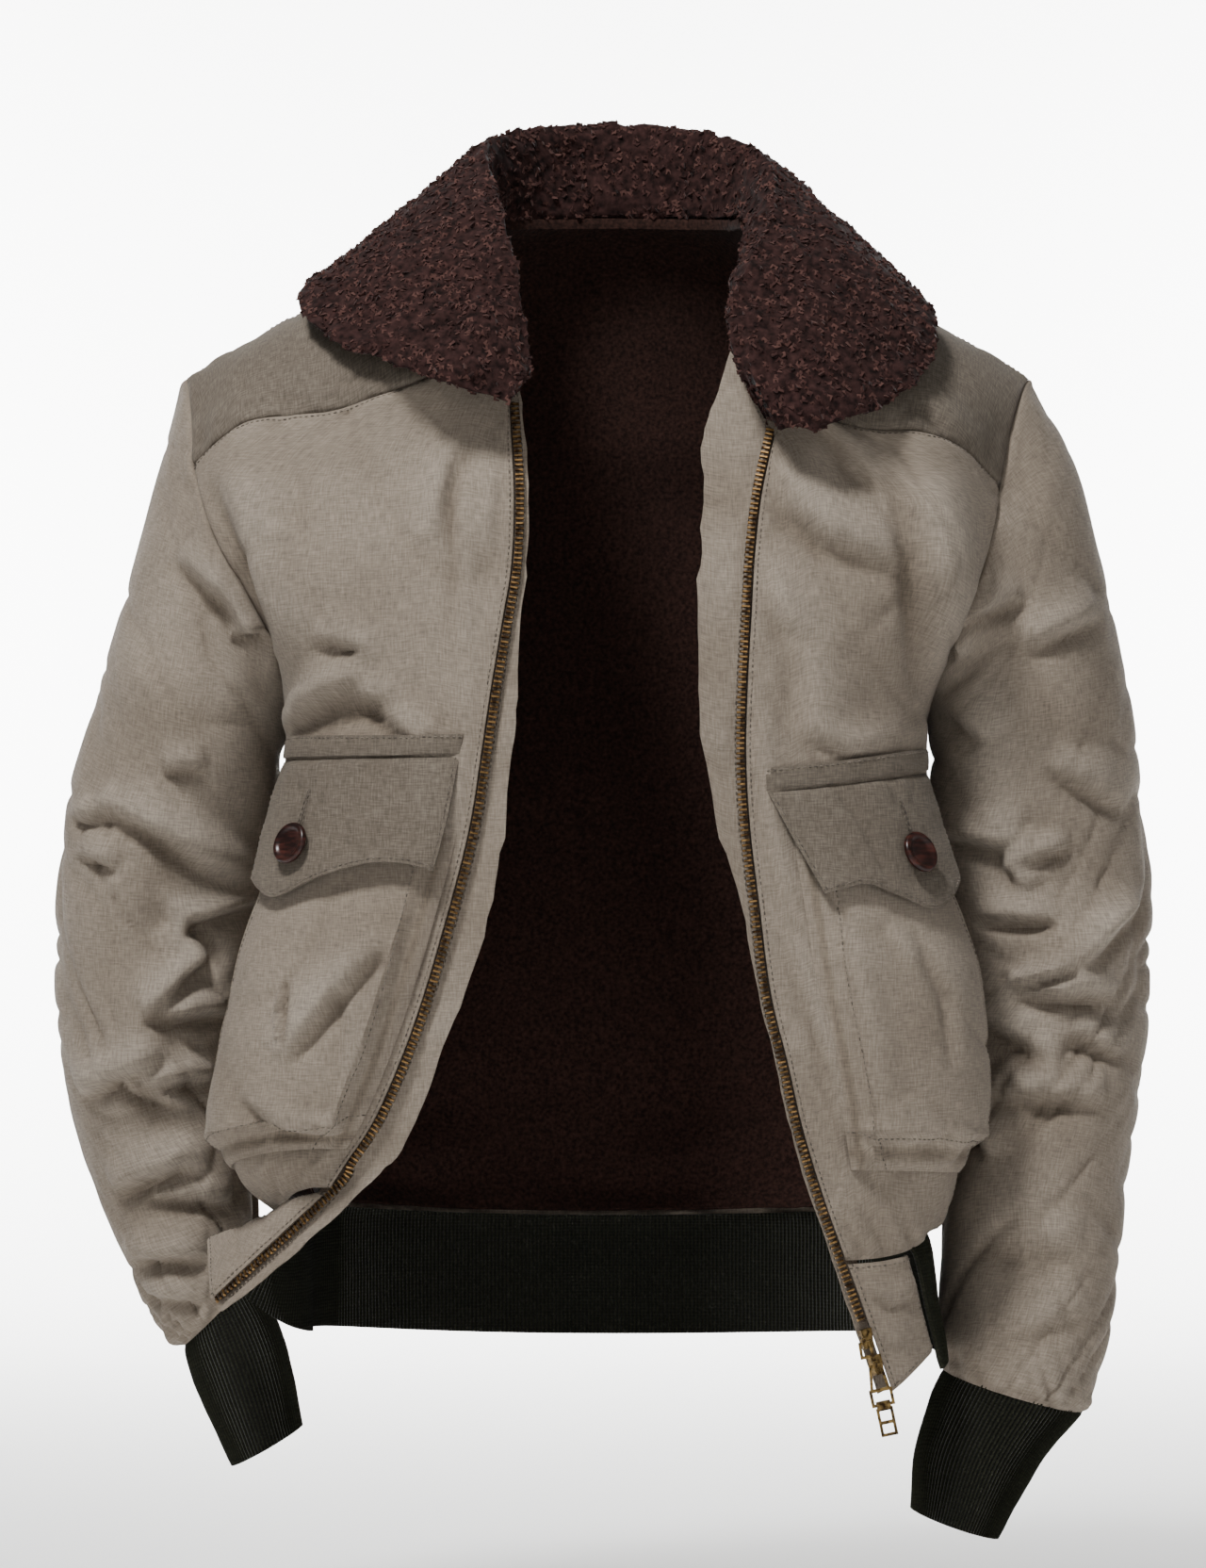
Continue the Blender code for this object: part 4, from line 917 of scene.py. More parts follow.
def share_normals(cuts: list[Cut]) -> None:
    """Gives points that two cuts have in common one normal, so that their walls meet."""
    points = np.concatenate([cut.grid.reshape(-1, 3) for cut in cuts])
    normals = np.concatenate([cut.normals.reshape(-1, 3) for cut in cuts])
    _, place = np.unique(np.round(points, 2), axis=0, return_inverse=True)
    place = place.reshape(-1)
    sums = np.zeros((place.max() + 1, 3))
    np.add.at(sums, place, normals)
    normals = unit(sums)[place]
    start = 0
    for cut in cuts:
        size = cut.grid.shape[0] * cut.grid.shape[1]
        cut.normals = normals[start : start + size].reshape(cut.grid.shape)
        start += size


def linear(text: str) -> tuple[float, float, float, float]:
    """An sRGB hex value as linear red, green, blue and a full alpha."""
    parts = [int(text.lstrip("#")[i : i + 2], 16) / 255 for i in (0, 2, 4)]
    return (*[p / 12.92 if p <= 0.04045 else ((p + 0.055) / 1.055) ** 2.4 for p in parts], 1.0)


def add(tree: NodeTree, kind: str, settings: dict, inputs: dict) -> Node:
    """Adds a node with its settings and its inputs.

    Args:
        tree: The node tree.
        kind: The node's type.
        settings: Its properties. The word stops gives a colour ramp its places and colours.
        inputs: For each input's name or number, a value or the output that feeds it.

    Returns:
        The new node.
    """
    node = tree.nodes.new(kind)
    for key, value in settings.items():
        if key != "stops":
            setattr(node, key, value)
            continue
        elements = node.color_ramp.elements
        while len(elements) < len(value):
            elements.new(0.5)
        for element, (place, colour) in zip(elements, value):
            element.position = place
            element.color = linear(colour)
    for key, value in inputs.items():
        if isinstance(value, NodeSocket):
            tree.links.new(value, node.inputs[key])
        else:
            node.inputs[key].default_value = value
    return node


def new_material(name: str) -> tuple[Material, NodeTree]:
    """An empty node material and its tree."""
    material = bpy.data.materials.new(name)
    material.use_nodes = True
    material.node_tree.nodes.clear()
    return material, material.node_tree


def close_material(tree: NodeTree, inputs: dict) -> None:
    """Ends a material in one principled surface with these inputs."""
    surface = add(tree, "ShaderNodeBsdfPrincipled", {}, inputs)
    add(tree, "ShaderNodeOutputMaterial", {}, {"Surface": surface.outputs["BSDF"]})


@dataclass(frozen=True)
class WashedCotton:
    """Washed slubby plain-weave cotton: matt, streaked both ways by uneven threads, with painted shade in
    its fold troughs and seam grooves and painted light on its fold ridges.
    """

    name: str
    shade: str
    body: str
    pale: str
    thread_mm: float = 0.9  # real threads are about 0.5 mm apart, drawn coarser so that they show
    slub_mm: float = 8.0
    blotch_mm: float = 70.0

    def build(self) -> Material:
        """Makes the material."""
        material, tree = new_material(self.name)
        cloth = add(tree, "ShaderNodeUVMap", {"uv_map": "cloth"}, {}).outputs["UV"]
        across, along = 1 / (self.thread_mm * MM), 1 / (self.slub_mm * MM)
        streaks = []
        for scale in ((across, along, 1), (along, across, 1)):
            place = add(tree, "ShaderNodeMapping", {}, {"Vector": cloth, "Scale": scale})
            noise = add(
                tree,
                "ShaderNodeTexNoise",
                {},
                {"Vector": place.outputs["Vector"], "Scale": 1.0, "Detail": 2.0, "Roughness": 0.65},
            )
            streaks.append(noise.outputs["Fac"])
        weave = add(tree, "ShaderNodeMath", {"operation": "ADD"}, {0: streaks[0], 1: streaks[1]})
        weave = add(tree, "ShaderNodeMath", {"operation": "MULTIPLY"}, {0: weave.outputs[0], 1: 0.5})
        place = add(tree, "ShaderNodeTexCoord", {}, {}).outputs["Object"]
        size = {"Vector": place, "Scale": 1 / (self.blotch_mm * MM), "Detail": 4.0}
        blotch = add(tree, "ShaderNodeTexNoise", {}, size)
        stops = ((0.36, self.shade), (0.5, self.body), (0.66, self.pale))
        threads = add(tree, "ShaderNodeValToRGB", {"stops": stops}, {"Fac": weave.outputs[0]})
        stops = ((0.3, "#e2e0de"), (0.7, "#ffffff"))
        washed = add(tree, "ShaderNodeValToRGB", {"stops": stops}, {"Fac": blotch.outputs["Fac"]})
        # Painted shade in fold troughs and seam grooves, painted light on fold ridges, read from the fold
        # attribute.
        fold = add(tree, "ShaderNodeAttribute", {"attribute_name": "fold"}, {})
        stops = ((0.0, "#ccc7c1"), (0.44, "#e9e6e3"), (1.0, "#ffffff"))
        reach = {"Value": fold.outputs["Fac"], "From Min": -1.0, "From Max": 1.0}
        level = add(tree, "ShaderNodeMapRange", {}, reach)
        painted_fold_shade = add(tree, "ShaderNodeValToRGB", {"stops": stops}, {"Fac": level.outputs["Result"]})
        colour = threads.outputs["Color"]
        for other in (washed.outputs["Color"], painted_fold_shade.outputs["Color"]):
            mixed = add(
                tree,
                "ShaderNodeMix",
                {"data_type": "RGBA", "blend_type": "MULTIPLY"},
                {0: 1.0, 6: colour, 7: other},
            )
            colour = mixed.outputs[2]
        creased = add(tree, "ShaderNodeTexNoise", {}, {"Vector": place, "Scale": 210.0, "Detail": 3.0})
        broad = add(
            tree,
            "ShaderNodeBump",
            {},
            {"Height": creased.outputs["Fac"], "Strength": 0.2, "Distance": 0.001},
        )
        bump = add(
            tree,
            "ShaderNodeBump",
            {},
            {
                "Height": weave.outputs[0],
                "Strength": 0.3,
                "Distance": 0.0004,
                "Normal": broad.outputs["Normal"],
            },
        )
        close_material(
            tree,
            {
                "Base Color": colour,
                "Roughness": 0.92,
                "Specular IOR Level": 0.2,
                "Sheen Weight": 0.04,
                "Sheen Roughness": 0.5,
                "Normal": bump.outputs["Normal"],
            },
        )
        return material


@dataclass(frozen=True)
class RibKnit:
    """Wool rib knit: green-black, with painted shade in the channels and painted light on the ribs, mottled
    by a soft fuzz.
    """

    name: str = "wool_rib_knit"
    channel_painted_shade: str = "#070704"
    rib: str = "#1b1c12"
    rib_bloom_and_painted_light: str = "#2d2d20"
    stitch_mm: float = 1.9

    def build(self) -> Material:
        """Makes the material."""
        material, tree = new_material(self.name)
        cloth = add(tree, "ShaderNodeUVMap", {"uv_map": "cloth"}, {}).outputs["UV"]
        loops = add(
            tree,
            "ShaderNodeTexWave",
            {"bands_direction": "Y"},
            {"Vector": cloth, "Scale": 0.314 / (self.stitch_mm * MM), "Distortion": 1.2, "Detail": 1.0},
        )
        place = add(tree, "ShaderNodeTexCoord", {}, {}).outputs["Object"]
        fuzz = add(tree, "ShaderNodeTexNoise", {}, {"Vector": place, "Scale": 900.0, "Detail": 3.0})
        # The fold attribute paints shade into the channels and light onto the ribs, mottled by the fuzz.
        fold = add(tree, "ShaderNodeAttribute", {"attribute_name": "fold"}, {})
        reach = {"Value": fold.outputs["Fac"], "From Min": -1.0, "From Max": 1.0}
        level = add(tree, "ShaderNodeMapRange", {}, reach)
        factors = {0: level.outputs["Result"], 1: fuzz.outputs["Fac"]}
        mixed = add(tree, "ShaderNodeMath", {"operation": "MULTIPLY"}, factors)
        stops = ((0.08, self.channel_painted_shade), (0.4, self.rib), (0.72, self.rib_bloom_and_painted_light))
        colour = add(tree, "ShaderNodeValToRGB", {"stops": stops}, {"Fac": mixed.outputs[0]})
        height = add(
            tree, "ShaderNodeMath", {"operation": "ADD"}, {0: loops.outputs["Fac"], 1: fuzz.outputs["Fac"]}
        )
        bump = add(
            tree, "ShaderNodeBump", {}, {"Height": height.outputs[0], "Strength": 0.5, "Distance": 0.0005}
        )
        close_material(
            tree,
            {
                "Base Color": colour.outputs["Color"],
                "Roughness": 0.95,
                "Specular IOR Level": 0.15,
                "Sheen Weight": 0.15,
                "Sheen Roughness": 0.4,
                "Normal": bump.outputs["Normal"],
            },
        )
        return material


@dataclass(frozen=True)
class Wool:
    """Sheep's wool, curled on the collar or short as pile: dark at the skin, warmer at the tips."""

    name: str
    skin: str
    middle: str
    tip: str
    lock_mm: float

    def build(self) -> Material:
        """Makes the material."""
        material, tree = new_material(self.name)
        place = add(tree, "ShaderNodeTexCoord", {}, {}).outputs["Object"]
        size = {"Vector": place, "Scale": 1 / (self.lock_mm * MM), "Detail": 4.0}
        locks = add(tree, "ShaderNodeTexNoise", {}, size)
        tint = add(tree, "ShaderNodeAttribute", {"attribute_name": "tint"}, {})
        half = add(tree, "ShaderNodeMath", {"operation": "MULTIPLY"}, {0: tint.outputs["Fac"], 1: 0.45})
        mixed = add(
            tree,
            "ShaderNodeMath",
            {"operation": "MULTIPLY_ADD"},
            {0: locks.outputs["Fac"], 1: 0.75, 2: half.outputs[0]},
        )
        stops = ((0.25, self.skin), (0.5, self.middle), (0.85, self.tip))
        colour = add(tree, "ShaderNodeValToRGB", {"stops": stops}, {"Fac": mixed.outputs[0]})
        bump = add(
            tree, "ShaderNodeBump", {}, {"Height": locks.outputs["Fac"], "Strength": 0.5, "Distance": 0.001}
        )
        close_material(
            tree,
            {
                "Base Color": colour.outputs["Color"],
                "Roughness": 0.95,
                "Specular IOR Level": 0.1,
                "Sheen Weight": 0.08,
                "Sheen Roughness": 0.4,
                "Normal": bump.outputs["Normal"],
            },
        )
        return material


@dataclass(frozen=True)
class AgedBrass:
    """Cast brass gone brown with handling: dull gold where it is rubbed, dark in its corners."""

    name: str
    dark: str
    bright: str
    patch_mm: float = 3.0
    roughness: float = 0.42

    def build(self) -> Material:
        """Makes the material."""
        material, tree = new_material(self.name)
        place = add(tree, "ShaderNodeTexCoord", {}, {}).outputs["Object"]
        size = {"Vector": place, "Scale": 1 / (self.patch_mm * MM), "Detail": 5.0}
        patches = add(tree, "ShaderNodeTexNoise", {}, size)
        stops = ((0.38, self.dark), (0.62, self.bright))
        colour = add(tree, "ShaderNodeValToRGB", {"stops": stops}, {"Fac": patches.outputs["Fac"]})
        relief = {"Height": patches.outputs["Fac"], "Strength": 0.2, "Distance": 0.0002}
        bump = add(tree, "ShaderNodeBump", {}, relief)
        close_material(
            tree,
            {
                "Base Color": colour.outputs["Color"],
                "Metallic": 1.0,
                "Roughness": self.roughness,
                "Normal": bump.outputs["Normal"],
            },
        )
        return material


@dataclass(frozen=True)
class PolishedHorn:
    """Turned and polished dark horn: nearly black brown with faint warm streaks and a clear gloss."""

    name: str = "polished_horn"
    dark: str = "#1a0d0b"
    streak: str = "#42211b"

    def build(self) -> Material:
        """Makes the material."""
        material, tree = new_material(self.name)
        place = add(tree, "ShaderNodeTexCoord", {}, {}).outputs["Object"]
        grain = add(tree, "ShaderNodeMapping", {}, {"Vector": place, "Scale": (90.0, 90.0, 500.0)})
        streaks = add(
            tree, "ShaderNodeTexNoise", {}, {"Vector": grain.outputs["Vector"], "Scale": 1.0, "Detail": 3.0}
        )
        stops = ((0.42, self.dark), (0.7, self.streak))
        colour = add(tree, "ShaderNodeValToRGB", {"stops": stops}, {"Fac": streaks.outputs["Fac"]})
        close_material(
            tree,
            {"Base Color": colour.outputs["Color"], "Roughness": 0.28, "Specular IOR Level": 0.3},
        )
        return material


@dataclass(frozen=True)
class SewingThread:
    """Twisted cotton thread a shade paler than the cloth, matt."""

    name: str = "cotton_thread"
    low: str = "#453e36"
    high: str = "#6f665b"

    def build(self) -> Material:
        """Makes the material."""
        material, tree = new_material(self.name)
        tint = add(tree, "ShaderNodeAttribute", {"attribute_name": "tint"}, {})
        stops = ((0.0, self.low), (1.0, self.high))
        colour = add(tree, "ShaderNodeValToRGB", {"stops": stops}, {"Fac": tint.outputs["Fac"]})
        close_material(tree, {"Base Color": colour.outputs["Color"], "Roughness": 0.85})
        return material


@dataclass(frozen=True)
class StudioPaper:
    """Pale matt background paper."""

    name: str = "background_paper"
    colour: str = "#fafaf9"

    def build(self) -> Material:
        """Makes the material."""
        material, tree = new_material(self.name)
        place = add(tree, "ShaderNodeTexCoord", {}, {}).outputs["Object"]
        tooth = add(tree, "ShaderNodeTexNoise", {}, {"Vector": place, "Scale": 400.0})
        relief = {"Height": tooth.outputs["Fac"], "Strength": 0.05, "Distance": 0.0003}
        bump = add(tree, "ShaderNodeBump", {}, relief)
        close_material(
            tree,
            {"Base Color": linear(self.colour), "Roughness": 0.9, "Normal": bump.outputs["Normal"]},
        )
        return material


@dataclass
class Finishes:
    """Every material of the jacket, made once."""

    cotton: Material
    dark_cotton: Material
    knit: Material
    fur: Material
    pile: Material
    horn: Material
    teeth: Material
    brass: Material
    tape: Material
    thread: Material
    paper: Material

    @classmethod
    def make(cls) -> "Finishes":
        """Builds them all."""
        return cls(
            cotton=WashedCotton("washed_cotton", "#7a7166", "#8f8579", "#a3998b").build(),
            dark_cotton=WashedCotton("washed_dark_cotton", "#59524a", "#6d655b", "#827a6f").build(),
            knit=RibKnit().build(),
            fur=Wool("curled_shearling", "#140b0a", "#352220", "#513833", 4.0).build(),
            pile=Wool("short_pile", "#1a100d", "#33211c", "#4d352d", 2.0).build(),
            horn=PolishedHorn().build(),
            teeth=AgedBrass("zip_brass", "#3f2d1e", "#a98657", 4.0, 0.4).build(),
            brass=AgedBrass("aged_brass", "#2f2419", "#8d7448").build(),
            tape=WashedCotton("woven_tape", "#39312a", "#54493f", "#70655a", 0.8, 3.0).build(),
            thread=SewingThread().build(),
            paper=StudioPaper().build(),
        )


def mesh_object(
    name: str, points: Array, quads: Array, material: Material, uv: Optional[Array] = None
) -> Object:
    """A named object from points in millimetres and quads, turned to face outward.

    Args:
        name: Its name.
        points: Its points.
        quads: Corners of each face.
        material: What it is made of.
        uv: Cloth coordinates in metres, one pair for each corner of each face.

    Returns:
        The object, in the scene.
    """
    a, b, c, d = (points[quads[:, k]] for k in range(4))
    volume = (a * np.cross(b, c)).sum() + (a * np.cross(c, d)).sum()
    if volume < 0:
        quads = quads[:, ::-1]
        uv = None if uv is None else uv[:, ::-1]
    mesh = bpy.data.meshes.new(name)
    mesh.from_pydata((points * MM).tolist(), [], quads.tolist())
    if uv is not None:
        layer = mesh.uv_layers.new(name="cloth")
        layer.data.foreach_set("uv", np.ascontiguousarray(uv, np.float32).ravel())
    mesh.materials.append(material)
    mesh.shade_smooth()
    mesh.update()
    item = bpy.data.objects.new(name, mesh)
    bpy.context.scene.collection.objects.link(item)
    return item


def set_values(item: Object, name: str, values: Array) -> None:
    """Stores one number a point on the object's mesh."""
    data = item.data.attributes.new(name, "FLOAT", "POINT").data
    data.foreach_set("value", np.ascontiguousarray(values, np.float32).ravel())


def grid_quads(rows: int, columns: int, wrap: bool) -> Array:
    """Corners of the quads of one grid."""
    last = columns if wrap else columns - 1
    i, j = np.meshgrid(np.arange(rows - 1), np.arange(last), indexing="ij")
    k = (j + 1) % columns
    quads = (i * columns + j, i * columns + k, (i + 1) * columns + k, (i + 1) * columns + j)
    return np.stack(quads, axis=-1).reshape(-1, 4)


def shell(cut: Cut, wall: float, gap: float, material: Material) -> Object:
    """A cut as a closed wall of cloth, with its cloth coordinates and how its folds lie.

    Args:
        cut: The pressed cut.
        wall: Its thickness in millimetres.
        gap: Seam gap that its borders are drawn in by, in millimetres.
        material: Its finish.

    Returns:
        The object.
    """
    threads = cut.grain or cut.threads()
    outer = cut.borders_drawn_in(gap)
    inner = outer - wall * cut.normals
    rows, columns = outer.shape[:2]
    count = rows * columns
    front = grid_quads(rows, columns, cut.wrap)
    last = columns if cut.wrap else columns - 1
    j = np.arange(last)
    k = (j + 1) % columns
    low = (rows - 1) * columns
    parts = [front, front[:, ::-1] + count]
    parts.append(np.stack([k, j, count + j, count + k], axis=1))
    parts.append(np.stack([low + j, low + k, count + low + k, count + low + j], axis=1))
    if not cut.wrap:
        a = np.arange(rows - 1) * columns
        b = a + columns
        c, d = a + columns - 1, b + columns - 1
        parts.append(np.stack([a, b, count + b, count + a], axis=1))
        parts.append(np.stack([d, c, count + c, count + d], axis=1))
    quads = np.concatenate(parts)
    spots = np.stack(threads, axis=-1) * MM
    flat = spots[:, :columns].reshape(-1, 2)
    uv = flat[quads % count]
    if cut.wrap:
        far = (quads % columns == 0) & ((quads % columns).max(axis=1) == columns - 1)[:, None]
        closing = spots[:, columns][(quads % count) // columns]
        uv = np.where(far[..., None], closing, uv)
    points = np.concatenate([outer.reshape(-1, 3), inner.reshape(-1, 3)])
    item = mesh_object(cut.name + "_cloth", points, quads, material, uv)
    item.data.set_sharp_from_angle(angle=math.radians(55))
    # The fold values carry painted shade and painted light for the materials.
    fold = np.zeros(outer.shape[:2]) if cut.fold is None else cut.fold
    set_values(item, "fold", np.concatenate([fold.ravel(), fold.ravel()]))
    return item


def settle(item: Object, slot: str, *nodes: str, body: str = BODY) -> None:
    """Puts a finished piece on its body, in place of its CAD nodes."""
    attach(item, body)
    if nodes:
        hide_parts(*nodes)
    triangles = sum(len(face.vertices) - 2 for face in item.data.polygons)
    LOG.info("%s: %d triangles", item.name, triangles)


def sew(
    cut: Cut, wall: float, gap: float, material: Material, slot: str
) -> None:
    """Makes a pressed cut into its piece of cloth.

    Args:
        cut: The pressed cut.
        wall: Thickness in millimetres.
        gap: Seam gap that its borders are drawn in by, in millimetres.
        material: Its finish.
        slot: Not used.
    """
    item = shell(cut, wall, gap, material)
    settle(item, slot, cut.name)


def small_part(name: str, points: list, faces: list) -> Object:
    """A small closed part from points in millimetres, for repeating.

    Args:
        name: Its name.
        points: Its points.
        faces: Corners of each face, in either direction.

    Returns:
        The part, in the scene.
    """
    mesh = bpy.data.meshes.new(name)
    mesh.from_pydata([tuple(c * MM for c in point) for point in points], [], faces)
    work = bmesh.new()
    work.from_mesh(mesh)
    bmesh.ops.recalc_face_normals(work, faces=work.faces)
    work.to_mesh(mesh)
    work.free()
    item = bpy.data.objects.new(name, mesh)
    bpy.context.scene.collection.objects.link(item)
    return item


def tube_faces() -> list[tuple[int, ...]]:
    """Faces of a closed tube through four rings of three points."""
    faces = [(0, 2, 1), (9, 10, 11)]
    for ring in range(3):
        for j in range(3):
            k = (j + 1) % 3
            faces.append((3 * ring + j, 3 * ring + k, 3 * ring + 3 + k, 3 * ring + 3 + j))
    return faces


def capped(quads: Array, around: int, last: int) -> Array:
    """Adds the quads that close both ends of a tube.

    Args:
        quads: The tube's quads.
        around: Points in each ring, an even number.
        last: Number of the last ring's first point.

    Returns:
        All the quads.
    """
    j = np.arange(around // 2 - 1)
    cap = np.stack([j, j + 1, around - 2 - j, around - 1 - j], axis=1)
    return np.concatenate([quads, cap[:, ::-1], last + cap])


class Repeats:
    """Geometry Nodes trees that repeat a small part along lines or over a surface."""

    @staticmethod
    def tree(name: str) -> tuple[NodeTree, Node]:
        """An empty tree with the inputs that both kinds share.

        Args:
            name: Its name.

        Returns:
            The tree and its input node.
        """
        tree = bpy.data.node_groups.new(name, "GeometryNodeTree")
        face = tree.interface
        face.new_socket(name="Geometry", in_out="INPUT", socket_type="NodeSocketGeometry")
        face.new_socket(name="Part", in_out="INPUT", socket_type="NodeSocketObject")
        for word in ("Smallest", "Largest", "Lean", "Density"):
            face.new_socket(name=word, in_out="INPUT", socket_type="NodeSocketFloat")
        face.new_socket(name="Seed", in_out="INPUT", socket_type="NodeSocketInt")
        face.new_socket(name="Geometry", in_out="OUTPUT", socket_type="NodeSocketGeometry")
        return tree, add(tree, "NodeGroupInput", {}, {})

    @staticmethod
    def place_parts(
        tree: NodeTree,
        given: Node,
        points: NodeSocket,
        out: NodeSocket,
        along: NodeSocket,
        material: Material,
    ) -> None:
        """Sets the part on each point, turned outward and along, uneven in size and tint.

        Args:
            tree: The tree.
            given: Its input node.
            points: Where the parts go.
            out: Direction that each part's top faces.
            along: Direction that each part's length follows.
            material: Finish of the parts.
        """
        part = add(tree, "GeometryNodeObjectInfo", {}, {"Object": given.outputs["Part"]})
        up = add(tree, "FunctionNodeAlignRotationToVector", {"axis": "Z"}, {"Vector": out})
        turned = add(
            tree,
            "FunctionNodeAlignRotationToVector",
            {"axis": "X", "pivot_axis": "Z"},
            {"Rotation": up.outputs["Rotation"], "Vector": along},
        )
        size = add(
            tree,
            "FunctionNodeRandomValue",
            {"data_type": "FLOAT"},
            {2: given.outputs["Smallest"], 3: given.outputs["Largest"], "Seed": given.outputs["Seed"]},
        )
        placed = add(
            tree,
            "GeometryNodeInstanceOnPoints",
            {},
            {
                "Points": points,
                "Instance": part.outputs["Geometry"],
                "Rotation": turned.outputs["Rotation"],
                "Scale": size.outputs[1],
            },
        )
        tint = add(tree, "FunctionNodeRandomValue", {"data_type": "FLOAT"}, {2: 0.0, 3: 1.0, "Seed": 77})
        stored = add(
            tree,
            "GeometryNodeStoreNamedAttribute",
            {"data_type": "FLOAT", "domain": "INSTANCE"},
            {"Geometry": placed.outputs["Instances"], "Name": "tint", "Value": tint.outputs[1]},
        )
        real = add(tree, "GeometryNodeRealizeInstances", {}, {"Geometry": stored.outputs["Geometry"]})
        done = add(
            tree,
            "GeometryNodeSetMaterial",
            {},
            {"Geometry": real.outputs["Geometry"], "Material": material},
        )
        add(tree, "NodeGroupOutput", {}, {"Geometry": done.outputs["Geometry"]})

    @staticmethod
    def run(name: str, carrier: Object, tree: NodeTree, values: dict[str, object]) -> Object:
        """Runs a tree on a copy of its carrier and keeps the result as a plain mesh.

        Args:
            name: Name of the new piece.
            carrier: Object that the tree reads.
            tree: The tree.
            values: A value for each named input.

        Returns:
            The new piece.
        """
        modifier = carrier.modifiers.new("repeat", "NODES")
        modifier.node_group = tree
        for socket in tree.interface.items_tree:
            if socket.in_out == "INPUT" and socket.name in values:
                modifier[socket.identifier] = values[socket.name]
        bpy.context.view_layer.update()
        graph = bpy.context.evaluated_depsgraph_get()
        mesh = bpy.data.meshes.new_from_object(carrier.evaluated_get(graph))
        carrier.modifiers.remove(modifier)
        mesh.name = name
        item = bpy.data.objects.new(name, mesh)
        bpy.context.scene.collection.objects.link(item)
        mesh.shade_smooth()
        mesh.set_sharp_from_angle(angle=math.radians(50))
        return item

    @classmethod
    def on_lines(
        cls,
        name: str,
        lines: Lines,
        pitch: float,
        part: Object,
        material: Material,
        uneven: float = 0.0,
    ) -> Object:
        """Repeats a part at an even pitch along lines.

        Args:
            name: Name of the new piece.
            lines: For each line, its points and outward directions.
            pitch: Distance between parts in millimetres.
            part: The part at its real size, its length along X and its top along Z.
            material: Finish of the parts.
            uneven: How much smaller or larger a part may be, as a share.

        Returns:
            The new piece.
        """
        spots, alongs, outs = [], [], []
        for points, normals in lines:
            steps = np.linalg.norm(np.diff(points, axis=0), axis=1)
            place = np.concatenate([[0], np.cumsum(steps)])
            at = np.arange(pitch / 2, place[-1], pitch)
            spot = np.stack([np.interp(at, place, points[:, k]) for k in range(3)], axis=1)
            out = np.stack([np.interp(at, place, normals[:, k]) for k in range(3)], axis=1)
            ahead = np.stack([np.interp(at + pitch / 2, place, points[:, k]) for k in range(3)], axis=1)
            spots.append(spot)
            outs.append(unit(out))
            alongs.append(unit(ahead - spot))
        spots, outs, alongs = (np.concatenate(group) for group in (spots, outs, alongs))
        mesh = bpy.data.meshes.new(name + "_places")
        mesh.from_pydata((spots * MM).tolist(), [], [])
        for word, values in (("out", outs), ("along", alongs)):
            data = mesh.attributes.new(word, "FLOAT_VECTOR", "POINT").data
            data.foreach_set("vector", np.ascontiguousarray(values, np.float32).ravel())
        carrier = bpy.data.objects.new(name + "_places", mesh)
        bpy.context.scene.collection.objects.link(carrier)
        tree, given = cls.tree(name)
        read = {"data_type": "FLOAT_VECTOR"}
        out = add(tree, "GeometryNodeInputNamedAttribute", read, {"Name": "out"}).outputs["Attribute"]
        along = add(tree, "GeometryNodeInputNamedAttribute", read, {"Name": "along"}).outputs["Attribute"]
        cls.place_parts(tree, given, given.outputs["Geometry"], out, along, material)
        values = {"Part": part, "Smallest": 1 - uneven, "Largest": 1 + uneven, "Seed": 3}
        item = cls.run(name, carrier, tree, values)
        bpy.data.objects.remove(carrier)
        bpy.data.objects.remove(part)
        return item

    @classmethod
    def on_surface(
        cls,
        name: str,
        carrier: Object,
        density: float,
        sizes: tuple[float, float],
        lean: float,
        part: Object,
        material: Material,
    ) -> Object:
        """Scatters a part over a surface, leaning every way.

        Args:
            name: Name of the new piece.
            carrier: The surface.
            density: Parts a square metre.
            sizes: Smallest and largest scale.
            lean: How far a part may lean from upright, as a share of its height.
            part: The part at its real size.
            material: Finish of the parts.

        Returns:
            The new piece.
        """
        tree, given = cls.tree(name)
        spread = add(
            tree,
            "GeometryNodeDistributePointsOnFaces",
            {"distribute_method": "RANDOM"},
            {
                "Mesh": given.outputs["Geometry"],
                "Density": given.outputs["Density"],
                "Seed": given.outputs["Seed"],
            },
        )
        sway, heading = (
            add(
                tree,
                "FunctionNodeRandomValue",
                {"data_type": "FLOAT_VECTOR"},
                {0: (-1.0, -1.0, -1.0), 1: (1.0, 1.0, 1.0), "Seed": seed},
            )
            for seed in (12, 31)
        )
        aside = add(
            tree,
            "ShaderNodeVectorMath",
            {"operation": "SCALE"},
            {0: sway.outputs[0], "Scale": given.outputs["Lean"]},
        )
        out = add(
            tree,
            "ShaderNodeVectorMath",
            {"operation": "ADD"},
            {0: spread.outputs["Normal"], 1: aside.outputs[0]},
        )
        cls.place_parts(tree, given, spread.outputs["Points"], out.outputs[0], heading.outputs[0], material)
        values = {"Part": part, "Smallest": sizes[0], "Largest": sizes[1], "Lean": lean}
        values |= {"Density": density, "Seed": 5}
        item = cls.run(name, carrier, tree, values)
        bpy.data.objects.remove(part)
        return item


